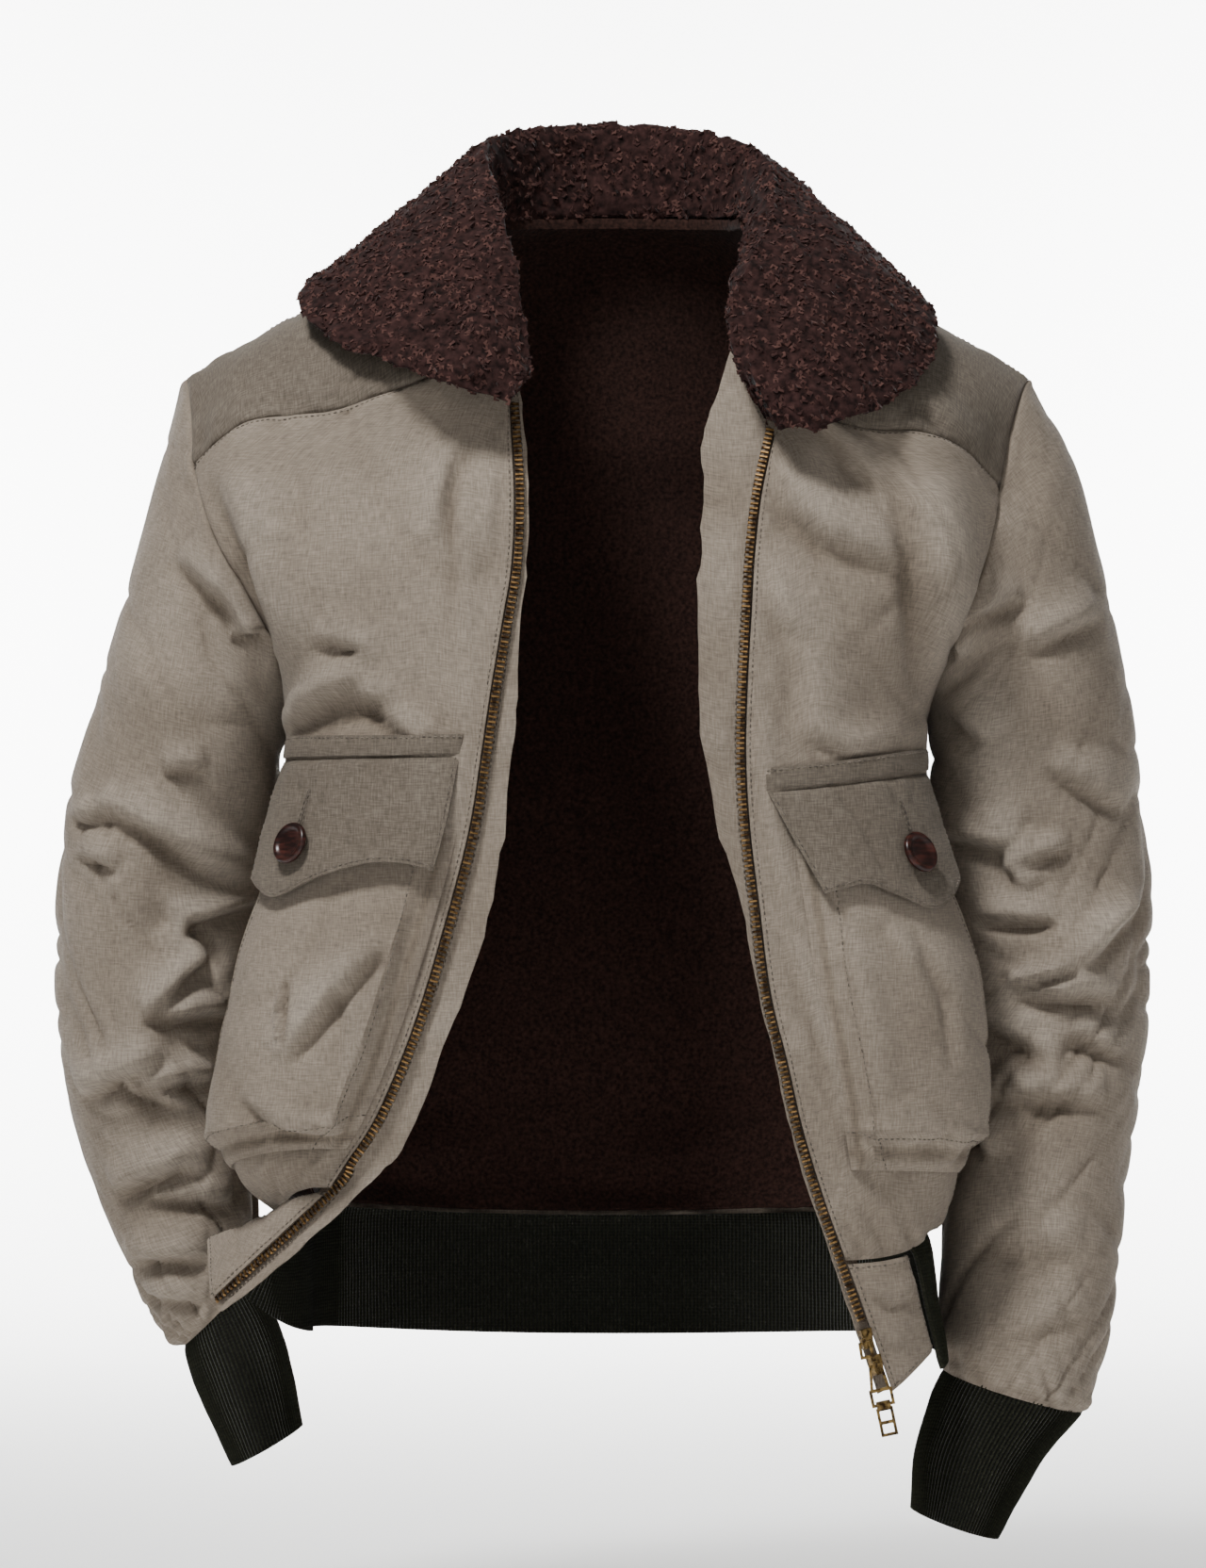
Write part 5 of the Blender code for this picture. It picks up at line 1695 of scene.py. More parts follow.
def beside(cut: Cut, border: int, distance: float, lift: float = 0.12) -> tuple[Array, Array]:
    """A stitch line on a cut, at an even distance inside one border.

    Args:
        cut: The pressed cut.
        border: 0 top, 1 bottom, 2 first column, 3 last column.
        distance: How far inside it, in millimetres.
        lift: How far the thread stands over the cloth.

    Returns:
        Points and normals along the line.
    """
    across, down = cut.lengths()
    columns = cut.grid.shape[1]
    along = down[:, :columns] if border < 2 else across[:, :columns].T
    grid = cut.grid if border < 2 else cut.grid.transpose(1, 0, 2)
    normals = cut.normals if border < 2 else cut.normals.transpose(1, 0, 2)
    if border in (1, 3):
        along = along[-1:] - along
        along, grid, normals = along[::-1], grid[::-1], normals[::-1]
    points, outs = [], []
    for j in range(grid.shape[1]):
        points.append([np.interp(distance, along[:, j], grid[:, j, k]) for k in range(3)])
        outs.append([np.interp(distance, along[:, j], normals[:, j, k]) for k in range(3)])
    outs = unit(np.array(outs))
    return np.array(points) + lift * outs, outs


@dataclass
class OuterCloth:
    """Fronts, yokes, back and sleeves, which share their seams."""

    finishes: Finishes
    middle: tuple[float, float, float] = (0.0, 0.0, -300.0)
    crumple: float = 1.0
    cuts: dict[str, Cut] = field(default_factory=dict)
    plain: dict[str, Cut] = field(default_factory=dict)

    def cut_out(self) -> None:
        """Makes every cut with its largest folds, and lets neighbours share normals."""
        sewn, edge, drawn, free = Seam.SEWN, Seam.EDGE, Seam.GATHERED, Seam.FREE
        middle = np.array(self.middle)
        cuts = []
        for side, word in SIDES.items():
            grid = Pattern.beyond_zip(side, Pattern.front_at(side, BODY_V, FRONT_U))
            normals = grid_normals(grid, False, middle)
            normals[:, FRONT_U < 0.3] *= -np.sign(normals[:, FRONT_U < 0.3, 1:2])
            cuts.append(Cut(f"front_{word}", grid, normals, (sewn, drawn, edge, sewn)))
            grid = Pattern.yoke_front_at(side, YOKE_W, YOKE_U)
            normals = grid_normals(grid, False, middle)
            cuts.append(Cut(f"yoke_front_{word}", grid, normals, (sewn, sewn, free, sewn)))
            grid = Pattern.sleeve_at(side, SLEEVE_V)
            normals = grid_normals(grid, True, grid.mean(axis=1, keepdims=True))
            cuts.append(Cut(f"sleeve_{word}", grid, normals, (sewn, drawn, free, free), wrap=True))
        grid = Pattern.back_at(BODY_V, BACK_T)
        cuts.append(Cut("back", grid, grid_normals(grid, False, middle), (sewn, drawn, sewn, sewn)))
        grid = Pattern.yoke_back_at(YOKE_W[::-1], BACK_T)
        cuts.append(Cut("yoke_back", grid, grid_normals(grid, False, middle), (sewn, sewn, sewn, sewn)))
        share_normals(cuts)
        for cut in cuts:
            cut.grid = cut.grid + Folds.large(cut.grid, cut.normals)[..., None] * cut.normals
            self.cuts[cut.name] = cut
            self.plain[cut.name] = Cut(cut.name, cut.grid.copy(), cut.normals, cut.borders, cut.wrap)

    def dress(self) -> None:
        """Presses the folds in and makes the pieces."""
        for name, cut in self.cuts.items():
            flat = cut.flat()
            yoke = "yoke" in name
            cut.press(self.crumple * (0.5 if yoke else 1.0))
            material = self.finishes.dark_cotton if yoke else self.finishes.cotton
            sew(cut, WALL, SEAM_GAP, material, "dark_cloth" if yoke else "cloth")

    def stitch_lines(self) -> Lines:
        """Top-stitching beside the yoke seams, the shoulders and the zip edges."""
        lines = [beside(self.cuts["back"], 0, 2.4), beside(self.cuts["yoke_back"], 0, 2.4)]
        for word in SIDES.values():
            lines.append(beside(self.cuts[f"front_{word}"], 0, 2.4))
            lines.append(beside(self.cuts[f"front_{word}"], 2, 2.2))
        return lines


@dataclass
class KnitBands:
    """Rib-knit cuffs and waistband, each rib a ridge down the band."""

    finishes: Finishes
    cuff_ribs: dict[int, int] = field(default_factory=lambda: {-1: 74, 1: 98})
    band_ribs: int = 290
    rib_height: float = 0.5
    rows: int = 13

    def ribbed(self, cut: Cut) -> None:
        """Raises one ridge in every four columns, and loosens the fabric between the seams."""
        columns = cut.grid.shape[1]
        phase = np.array([1.0, 0.1, -1.0, 0.1])[np.arange(columns) % 4]
        across, down = cut.lengths()
        loose = 0.9 * lattice_noise(cut.grid, 26, 61) + 0.35 * lattice_noise(cut.grid, 9, 62)
        ends = smooth(down[:, :columns] / 6 + 0.2) * smooth((down[-1:] - down)[:, :columns] / 4 + 0.3)
        height = self.rib_height * phase * (0.75 + 0.25 * ends) + loose * ends
        # fold: painted shade in the channels and painted light on the ribs, for the knit's colour.
        cut.fold = np.broadcast_to(0.8 * phase, height.shape).copy()
        cut.grid = cut.grid + height[..., None] * cut.normals

    def cuffs(self) -> None:
        """Makes both cuffs."""
        for side, word in SIDES.items():
            angles = np.arange(4 * self.cuff_ribs[side]) * 2 * np.pi / (4 * self.cuff_ribs[side])
            grid = Pattern.cuff_at(side, 2 * np.linspace(-0.02, 0.985, self.rows + 6), angles)
            normals = grid_normals(grid, True, grid.mean(axis=1, keepdims=True))
            tucked = 1.8 * np.exp(-np.linspace(0, 14, len(grid)))[:, None, None]
            grid = grid - (tucked + 0.8) * normals
            cut = Cut(f"cuff_{word}", grid, normals, (Seam.FREE,) * 4, wrap=True)
            self.ribbed(cut)
            sew(cut, KNIT_WALL, 0.0, self.finishes.knit, "knit")

    @staticmethod
    def band_path() -> tuple[Array, Array]:
        """The hem from one tab round the back to the other, and how far the band drops from it."""
        path, drop = [], []
        for side in SIDES:
            share = TABS[side][0]
            table = np.array(BAND_DROP[side], float)
            t = np.array([share + 0.04, 0.62, 0.75, 0.88, 1.0])
            part = Pattern.front_at(side, [12.0], t)[0]
            fall = hermite(t, table[:, 0], table[:, 1:]) * [side, 1, 1]
            back_t = np.array([0.83, 0.66, 0.5, 0.35, 0.18])
            back = Pattern.back_half(side, [12.0], back_t)[0]
            middle = np.array(BACK_DROP, float)
            fall = np.concatenate([fall, middle + back_t[:, None] ** 2 * (fall[-1] - middle)])
            part = np.concatenate([part, back])
            path.append(part if side < 0 else part[::-1])
            drop.append(fall if side < 0 else fall[::-1])
        middle = Pattern.back_half(1, [12.0], [0.0])[0]
        return np.concatenate([path[0], middle, path[1]]), np.concatenate([drop[0], [BACK_DROP], drop[1]])

    def waistband(self) -> None:
        """Makes the waistband."""
        path, drop = self.band_path()
        steps = np.concatenate([[0], np.cumsum(np.linalg.norm(np.diff(path, axis=0), axis=1))])
        at = np.linspace(0, steps[-1], 4 * self.band_ribs + 1)
        path, drop = hermite(at, steps, path), hermite(at, steps, drop)
        grid = path + np.linspace(-0.05, 0.985, self.rows)[:, None, None] * drop
        normals = grid_normals(grid, False, (0, 0, -580))
        tucked = 2.4 * np.exp(-np.linspace(0, 16, self.rows))[:, None, None]
        cut = Cut("waistband", grid - tucked * normals, normals, (Seam.FREE,) * 4)
        self.ribbed(cut)
        sew(cut, KNIT_WALL, 1.0, self.finishes.knit, "knit")

    def build(self) -> None:
        """Makes cuffs and waistband."""
        self.cuffs()
        self.waistband()


@dataclass
class Tabs:
    """Cloth tabs at the front ends of the waistband."""

    finishes: Finishes
    columns: int = 34
    rows: int = 30
    bulge: float = 5.0
    cuts: list[Cut] = field(default_factory=list)

    def build(self) -> None:
        """Makes both tabs."""
        for side, word in SIDES.items():
            share, *corners = TABS[side]
            t = np.linspace(0, share, self.columns)
            top = Pattern.front_at(side, [12.0], t)[0]
            front, back = (np.array(corners[k : k + 3]) * [side, 1, 1] for k in (0, 3))
            low = front + (t / share)[:, None] * (back - front)
            low = low + np.array([0, -self.bulge, 0]) * np.sin(np.pi * t / share)[:, None]
            grid = top + np.linspace(0.02, 1, self.rows)[:, None, None] * (low - top)
            normals = grid_normals(grid, False, (0, 0, -570))
            borders = (Seam.SEWN, Seam.EDGE, Seam.EDGE, Seam.SEWN)
            cut = Cut(f"tab_{word}", grid, normals, borders)
            cut.press(0.8)
            sew(cut, WALL, 1.0, self.finishes.cotton, "cloth")
            self.cuts.append(cut)

    def stitch_lines(self) -> Lines:
        """Edge-stitching round each tab."""
        return [beside(cut, border, 3.0) for cut in self.cuts for border in range(4)]


@dataclass
class ZipEdges:
    """Facing, tape and teeth along each front edge."""

    finishes: Finishes
    facing_depth: float = 3.9
    facing_wall: float = 0.7
    tape_depth: float = 2.5
    tape_rise: float = -1.0
    tape_wall: float = 0.6
    teeth_end: dict[int, float] = field(default_factory=lambda: {-1: 12.97, 1: 12.49})
    tooth: tuple[float, float, float] = (1.35, 4.4, 1.5)
    pitch: float = 2.7
    stitch_distance: float = 5.5
    lines: Lines = field(default_factory=list)

    def tooth_part(self) -> Object:
        """One cast tooth: a block with a chamfered top."""
        length, width, height = (value / 2 for value in self.tooth)
        points = []
        for x, z in ((1.0, -1.0), (1.0, 0.3), (0.55, 1.0), (-0.55, 1.0), (-1.0, 0.3), (-1.0, -1.0)):
            for y in (-1.0, 1.0):
                points.append((x * length, y * width * (0.9 if z > 0.5 else 1.0), z * height))
        quads = []
        for j in range(6):
            k = (j + 1) % 6
            quads.append((2 * j, 2 * k, 2 * k + 1, 2 * j + 1))
        for end in (0, 1):
            ring = [2 * j + end for j in range(6)]
            quads.append((ring[0], ring[1], ring[4], ring[5]))
            quads.append((ring[1], ring[2], ring[3], ring[4]))
        return small_part("tooth", points, quads)

    def facing(self, side: int, word: str) -> None:
        """The facing inside one front edge, its free edge a little wavy."""
        rows = np.concatenate([BODY_V[::2], np.linspace(12.08, 12.97, 14)])
        line, across, normals = Pattern.edge_frame(side, rows)
        reach = np.interp(rows, np.arange(14), FACING_WIDTH[side])
        shares = np.linspace(0, 1, 20)
        up_neck = np.linspace(0.16, 0.012, 15)
        neck = Pattern.front_at(side, [0.0], up_neck)[0]
        free = line[0] + reach[0] * across[0]
        lift = (neck[:, 2] - line[0, 2])[:, None]
        free = free + np.concatenate([FACING_LEAN[side] * side * lift, 0.4 * lift, lift], axis=1)
        gap = np.linalg.norm(free - neck, axis=1)
        line, reach = np.concatenate([neck, line]), np.concatenate([gap, reach])
        across = np.concatenate([unit(free - neck), across])
        normals = np.concatenate([np.repeat(normals[:1], len(neck), axis=0), normals])
        down = np.cumsum(np.linalg.norm(np.diff(line, axis=0, prepend=line[:1]), axis=1))
        reach = reach * (1 + 0.05 * line_noise(down, 14, 71)) + 0.5 * line_noise(down, 6, 72)
        away = -1.5 + shares[None] * (reach[:, None] + 1.5)
        grid = line[:, None] + away[..., None] * across[:, None]
        wave = 1.5 * line_noise(down, 16, 73) + 0.5 * line_noise(down, 6.5, 74)
        rise = wave[:, None] * smooth((away - 5) / 8) * np.where(reach[:, None] > 9, 1.0, 0.25)
        grid = grid - (self.facing_depth - np.clip(rise, -0.5, 1.5))[..., None] * normals[:, None]
        normals = np.broadcast_to(normals[:, None], grid.shape).copy()
        cut = Cut(f"facing_{word}", grid, normals, (Seam.FREE,) * 4)
        # Painted light where the free edge rises and painted shade where it dips.
        cut.fold = np.clip(rise / 5, -1, 1) + 0.0 * away
        sew(cut, self.facing_wall, 0.0, self.finishes.cotton, "cloth")
        self.lines.append(beside(cut, 2, 1.5 + self.stitch_distance))

    def tape_and_teeth(self, side: int, word: str) -> None:
        """The woven tape of one edge and the teeth along it."""
        rows = np.linspace(0.45 * ARM_V[1], self.teeth_end[side], 160)
        line, across, normals = Pattern.edge_frame(side, rows)
        low = -self.tape_depth
        profile = ((-6.4, low - 0.6), (-3.0, low - 0.3), (0.3, low), (0.8, self.tape_rise - 0.6))
        profile += ((1.3, self.tape_rise), (2.2, self.tape_rise + 0.15), (3.2, self.tape_rise))
        columns = [line + away * across + rise * normals for away, rise in profile]
        grid = np.stack(columns, axis=1)
        spread = np.broadcast_to(normals[:, None], grid.shape).copy()
        cut = Cut(f"zip_tape_{word}", grid, spread, (Seam.FREE,) * 4)
        sew(cut, self.tape_wall, 0.0, self.finishes.tape, "zip")
        path = line + 3.15 * across - 0.45 * normals
        teeth = Repeats.on_lines(
            f"zip_teeth_{word}", [(path, normals)], self.pitch, self.tooth_part(), self.finishes.teeth, 0.04
        )
        settle(teeth, "zip", cut.name)

    def build(self) -> None:
        """Makes both edges."""
        for side, word in SIDES.items():
            self.facing(side, word)
            self.tape_and_teeth(side, word)


@dataclass
class Pockets:
    """Bellows pockets with their flaps, the strips over them, and the buttons."""

    finishes: Finishes
    fronts: dict[int, Cut]
    flap_wall: float = 1.6
    welt_wall: float = 1.4
    pocket_wall: float = 1.2
    lines: Lines = field(default_factory=list)

    def on_front(self, side: int, v: Array, u: Array, lift: Array) -> Array:
        """Points over a front at the given rows and columns.

        Args:
            side: Which front.
            v: Rows.
            u: Columns.
            lift: Heights over the cloth in millimetres.

        Returns:
            A point for each place.
        """
        cut = self.fronts[side]
        v, u, lift = np.broadcast_arrays(*(np.asarray(a, float) for a in (v, u, lift)))
        row, column = (
            np.interp(values.ravel(), places, np.arange(len(places)))
            for values, places in ((v, BODY_V), (u, FRONT_U))
        )
        i = np.clip(row.astype(int), 0, len(BODY_V) - 2)
        j = np.clip(column.astype(int), 0, len(FRONT_U) - 2)
        p, q = (row - i)[:, None], (column - j)[:, None]
        read = []
        for values in (cut.grid, cut.normals):
            top = (1 - q) * values[i, j] + q * values[i, j + 1]
            low = (1 - q) * values[i + 1, j] + q * values[i + 1, j + 1]
            read.append((1 - p) * top + p * low)
        points = read[0] + lift.reshape(-1, 1) * unit(read[1])
        return points.reshape(*v.shape, 3)

    def pocket(self, side: int, word: str) -> None:
        """One bellows pocket, full below and open at the top."""
        places = POCKET_U[side]
        start, end = places[0], places[-1]
        rim = 0.062
        u = np.concatenate([np.linspace(0, rim + 0.02, 22), np.linspace(rim + 0.025, 0.3, 24)])
        u = np.concatenate([start + u, np.linspace(start + 0.3, end - 0.3, 24), end - u])
        u = np.unique(np.round(u, 5))
        v = np.unique(np.round(np.concatenate([np.linspace(6.1, 9.9, 54), np.linspace(9.9, 10.6, 26)]), 5))
        u, v = np.meshgrid(u, v)
        base, opening, full = POCKET_LIFT
        inside = np.minimum(u - start, end - u) / rim
        low = (10.6 - v) / 0.62
        steps, heights = (0, 0.3, 0.62, 0.86, 1.0, 1.13, 1.3, 1.6), (0, 0.2, 0.3, 0.8, 1.06, 1.0, 0.95, 1.0)
        sides, foot = np.interp(inside, steps, heights), np.interp(low, steps, heights)
        lift = base + (opening + (full - opening) * smooth((v - 6.1) / 1.9) - base) * sides * foot
        grid = self.on_front(side, v, u, lift)
        normals = grid_normals(grid, False, (0, 0, -430))
        cut = Cut(f"pocket_{word}", grid, normals, (Seam.EDGE,) * 4)
        cut.press(0.9)
        # Painted shadow along the foot of the gusset, at the pocket's sides and bottom.
        painted_gusset_shadow = np.exp(-(((inside - 0.42) / 0.16) ** 2)) + np.exp(-(((low - 0.42) / 0.16) ** 2))
        cut.fold = np.clip(cut.fold - 0.9 * painted_gusset_shadow, -1, 1)
        sew(cut, self.pocket_wall, 0.0, self.finishes.cotton, "cloth")
        self.lines += [beside(cut, 2, 19.0), beside(cut, 3, 19.0), beside(cut, 1, 21.0)]

    def flap(self, side: int, word: str) -> None:
        """One flap and the narrow strip over its top edge."""
        table = np.array(FLAPS[side])
        table = hermite(np.linspace(0, 6, 73), np.arange(7), table)
        rows = np.linspace(0.02, 1.0, 26)[:, None]
        u = table[:, 0] + rows * (table[:, 2] - table[:, 0])
        v = table[:, 1] + rows * (table[:, 3] - table[:, 1])
        low, high = FLAP_LIFT
        grid = self.on_front(side, v, u, low + (high - low) * rows**1.1 + self.flap_wall)
        normals = grid_normals(grid, False, (0, 0, -350))
        cut = Cut(f"flap_{word}", grid, normals, (Seam.SEWN, Seam.EDGE, Seam.EDGE, Seam.EDGE))
        cut.press(0.7)
        sew(cut, self.flap_wall, 0.0, self.finishes.dark_cotton, "dark_cloth")
        self.lines += [beside(cut, border, 2.0) for border in (1, 2, 3)]
        rows = np.linspace(-1.0, 0.0, 9)[:, None]
        v = table[:, 1] + rows * WELT_ROWS
        grid = self.on_front(side, v, table[:, 0] + 0 * v, 2.8 + 0 * v)
        strip = Cut(f"welt_{word}", grid, grid_normals(grid, False, (0, 0, -350)), (Seam.EDGE,) * 4)
        strip.press(0.3)
        sew(strip, self.welt_wall, 0.0, self.finishes.dark_cotton, "dark_cloth")
        self.lines.append(beside(strip, 0, 1.6))

    def button(self, side: int, word: str) -> None:
        """One turned button: a rolled rim round a dished middle."""
        u, v, lift = BUTTONS[side]
        rows, columns = [v, v, v - 0.1, v + 0.1], [u - 0.03, u + 0.03, u, u]
        ends = self.on_front(side, rows, columns, [lift, lift, lift - 1, lift + 1])
        axis = unit(np.cross(ends[1] - ends[0], ends[3] - ends[2]))
        axis = axis * -np.sign(axis[1])
        right = unit(np.cross(axis, (0, 0, 1)))
        up = np.cross(right, axis)
        angles = np.linspace(0, 2 * np.pi, 56, endpoint=False)
        around = np.cos(angles)[:, None] * right + np.sin(angles)[:, None] * up
        middle = ends.mean(axis=0)
        rings = [middle + BUTTON_RADIUS * share * around + height * axis for share, height in BUTTON_RINGS]
        grid = np.array(rings)
        quads = capped(grid_quads(*grid.shape[:2], True), len(angles), (len(rings) - 1) * len(angles))
        item = mesh_object(f"button_{word}_turned", grid.reshape(-1, 3), quads, self.finishes.horn)
        settle(item, "horn", f"button_{word}")

    def buttonhole(self, side: int) -> None:
        """Two lines of stitching beside the slit over the button."""
        u, v, _ = BUTTONS[side]
        places = np.linspace(v - 0.78, v - 0.3, 24)
        for offset in (-0.0045, 0.0045):
            lift = FLAP_LIFT[0] + 3.2 + 9.0 * (places - v + 0.9) / 1.2
            points = self.on_front(side, places, u + offset, lift)
            normals = np.broadcast_to(np.array([0.0, -1.0, 0.0]), points.shape)
            self.lines.append((points, normals))

    def build(self) -> None:
        """Makes both sides."""
        for side, word in SIDES.items():
            self.pocket(side, word)
            self.flap(side, word)
            self.button(side, word)
            self.buttonhole(side)


@dataclass
class Collar:
    """Shearling collar: a thick lumpy body under thousands of small curls."""

    finishes: Finishes
    stations: int = 230
    around: int = 84
    sink: float = 1.9
    curls: int = 9700
    curl_radius: float = 1.35
    wisps: int = 9000

    @staticmethod
    def section(neck: Array, row: Array) -> Array:
        """Closed section at one place: up the stand, over the roll, down the fall."""
        roll, edge = row[:3], row[3:]
        up = unit(roll - neck)
        inward = np.array([0.0, -12.0, neck[2]]) - neck
        inward = unit(inward - up * inward.dot(up))
        fall = np.linalg.norm(edge - roll)
        neck = neck + COLLAR_INSET * inward + max(COLLAR_RISE, 2 - fall / 6) * up
        down = (edge - roll) / fall
        out = up - inward
        out = unit(out - down * out.dot(down))
        size = min(1.0, fall / 55)
        return np.array(
            [
                neck + 1.0 * up + 3.5 * size * inward,
                (neck + roll) / 2 + 5 * size * inward,
                roll - 9 * size * up + 6 * size * inward,
                roll + 1 * size * up + 2 * size * inward,
                roll + 0 * size * up - 6 * size * inward,
                roll + 0.35 * fall * down + 7 * size * out,
                roll + 0.75 * fall * down + 7 * size * out,
                edge + 4 * size * out + 2 * size * down,
                edge - 3 * size * out,
                roll + 0.6 * fall * down - 4 * size * out,
                roll + 0.25 * fall * down - 4.5 * size * out,
                neck + 0.45 * (roll - neck) - 4 * size * inward,
                neck + 1.0 * up - 3.5 * size * inward,
            ]
        )

    def base(self) -> Object:
        """The body of the collar, sunk under the reach of its curls."""
        knots = np.arange(len(COLLAR))
        at = np.linspace(0.05, len(COLLAR) - 1.05, self.stations)
        necks, rows = hermite(at, knots, Pattern.neckline()), hermite(at, knots, COLLAR)
        coarse = np.array([self.section(neck, row) for neck, row in zip(necks, rows)])
        doubled = np.concatenate([coarse, coarse, coarse], axis=1).transpose(1, 0, 2)
        places = 13 + np.linspace(0, 13, self.around, endpoint=False)
        grid = hermite(places, np.arange(39), doubled).transpose(1, 0, 2)
        normals = grid_normals(grid, True, grid.mean(axis=1, keepdims=True))
        lumps = 1.5 * lattice_noise(grid, 11, 81) + 1.1 * lattice_noise(grid, 4.6, 82)
        grid = grid + (lumps - self.sink)[..., None] * normals
        quads = capped(grid_quads(*grid.shape[:2], True), self.around, (self.stations - 1) * self.around)
        item = mesh_object("collar_skin", grid.reshape(-1, 3), quads, self.finishes.fur)
        set_values(item, "tint", np.zeros(len(item.data.vertices)))
        return item

    def curl_part(self) -> Object:
        """One lock of wool: a thick open ring lying down, its ends tucked in."""
        points = []
        for turn, thick in ((-2.2, 0.5), (-0.75, 0.95), (0.75, 0.95), (2.2, 0.45)):
            rise = 0.75 * math.cos(0.7 * turn) - 0.45
            middle = np.array([self.curl_radius * math.sin(turn), -self.curl_radius * math.cos(turn), rise])
            side = np.array([math.sin(turn), -math.cos(turn), 0.0])
            for angle in (0.5, 2.594, 4.689):
                points.append(middle + thick * (math.cos(angle) * side + np.array([0, 0, math.sin(angle)])))
        return small_part("lock", points, tube_faces())

    def wisp_part(self) -> Object:
        """One stray end of wool, standing out of the curls."""
        points = [(-0.11, -0.06, 0.0), (0.11, -0.06, 0.0), (0.0, 0.13, 0.0), (0.5, 0.2, 2.9)]
        return small_part("wisp", points, [(0, 2, 1), (0, 1, 3), (1, 2, 3), (2, 0, 3)])

    def build(self) -> None:
        """Makes the collar."""
        skin = self.base()
        area = sum(face.area for face in skin.data.polygons)
        fur = self.finishes.fur
        curls = Repeats.on_surface(
            "collar_curls", skin, self.curls / area, (0.75, 1.3), 0.5, self.curl_part(), fur
        )
        wisps = Repeats.on_surface(
            "collar_wisps", skin, self.wisps / area, (0.6, 1.25), 0.9, self.wisp_part(), fur
        )
        for item in (skin, curls, wisps):
            settle(item, "fur", "collar")


@dataclass
class PileLining:
    """Short pile lining inside the fronts, the back and its yoke."""

    finishes: Finishes
    outer: dict[str, Cut]
    depth: float = 5.4
    wall: float = 0.9
    step: int = 3
    tuck: float = 8.0
    beyond: dict[int, float] = field(default_factory=lambda: {-1: -1.5, 1: 1.8})

    def make(self, name: str, grid: Array, normals: Array, gap: float) -> None:
        """One lining piece under the given surface.

        Args:
            name: Its CAD node.
            grid: The surface of the outer cloth.
            normals: Its normals.
            gap: How far its borders stand in, twice over, in millimetres.
        """
        tufts = 0.35 * lattice_noise(grid, 3.5, 91)
        under = grid - (self.depth - tufts)[..., None] * normals
        cut = Cut(name, under, normals.copy(), (Seam.FREE,) * 4)
        sew(cut, self.wall, gap, self.finishes.pile, "pile")

    @staticmethod
    def beneath(cut: Cut) -> Array:
        """A surface that stays under every fold of the cut, eased between them."""
        low = cut.height.copy()
        for _ in range(3):
            low = np.minimum.reduce([np.roll(low, step, axis) for step in (-1, 0, 1) for axis in (0, 1)])
        for _ in range(3):
            low = sum(np.roll(low, step, axis) for step in (-1, 0, 1) for axis in (0, 1)) / 6
        return cut.grid + (np.minimum(low, 0) - cut.height)[..., None] * cut.normals

    def build(self) -> None:
        """Makes the three pieces."""
        rows = np.unique(np.append(np.arange(2, len(BODY_V) - 1, self.step), len(BODY_V) - 1))
        columns = np.unique(np.append(np.arange(2, len(FRONT_U), self.step), len(FRONT_U) - 1))
        for side, word in SIDES.items():
            cut = self.outer[f"front_{word}"]
            line, across, edge_normals = Pattern.edge_frame(side, BODY_V[rows])
            reach = np.interp(BODY_V[rows], np.arange(14), FACING_WIDTH[side]) + self.beyond[side]
            edges = [line + share * reach[:, None] * across for share in (1.0, 0.66, 0.33)]
            grid = np.concatenate([np.stack(edges, axis=1), self.beneath(cut)[rows][:, columns]], axis=1)
            rest = np.broadcast_to(edge_normals[:, None], (len(rows), 3, 3))
            normals = np.concatenate([rest, cut.normals[rows][:, columns]], axis=1)
            self.make(f"lining_front_{word}", grid, normals, 8.0)
        yoke, back = self.outer["yoke_back"], self.outer["back"]
        across = np.unique(np.append(np.arange(0, back.grid.shape[1], self.step), back.grid.shape[1] - 1))
        raised = yoke.grid[:1] + self.tuck * np.array([0.0, 0.0, 1.0])
        grid = np.concatenate([raised, self.beneath(yoke)[::2], self.beneath(back)[rows]])[:, across]
        normals = np.concatenate([yoke.normals[:1], yoke.normals[::2], back.normals[rows]])[:, across]
        self.make("lining_back", grid, normals, 6.0)


@dataclass
class Stitching:
    """Every line of top-stitching, one short thread at a time."""

    finishes: Finishes
    length: float = 2.3
    pitch: float = 3.2
    thick: float = 0.42

    def stitch_part(self) -> Object:
        """One stitch: a short thread that dips at both ends."""
        points = []
        for share, drop, size in ((-1.0, -0.35, 0.5), (-0.45, 0, 1), (0.45, 0, 1), (1.0, -0.35, 0.5)):
            thick = self.thick * size
            for y, z in ((-1, -0.3), (0, 0.9), (1, -0.3)):
                points.append((share * self.length / 2, y * thick, drop + z * thick))
        return small_part("stitch", points, tube_faces())

    def build(self, lines: Lines) -> None:
        """Sews the lines.

        Args:
            lines: Points and outward directions of each.
        """
        part, thread = self.stitch_part(), self.finishes.thread
        item = Repeats.on_lines("top_stitching", lines, self.pitch, part, thread, 0.12)
        settle(item, "cloth")


@dataclass
class ZipHardware:
    """Sliders and pulls: the solids themselves, with rubbed brass and eased edges."""

    finishes: Finishes
    nodes: tuple[str, ...] = ("slider_upper", "slider_lower", "pull_short", "pull_link", "pull_tab")
    ease: float = 0.25

    def build(self) -> None:
        """Dresses each node."""
        for name in self.nodes:
            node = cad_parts[name]
            for place in node.material_slots:
                place.material = self.finishes.brass
            weld = node.modifiers.new("weld", "WELD")
            weld.merge_threshold = 0.00001
            bevel = node.modifiers.new("ease", "BEVEL")
            bevel.width = self.ease * MM
            bevel.segments = 2
            bevel.limit_method = "ANGLE"
            bevel.angle_limit = math.radians(30)
            LOG.info("%s: dressed in brass", name)


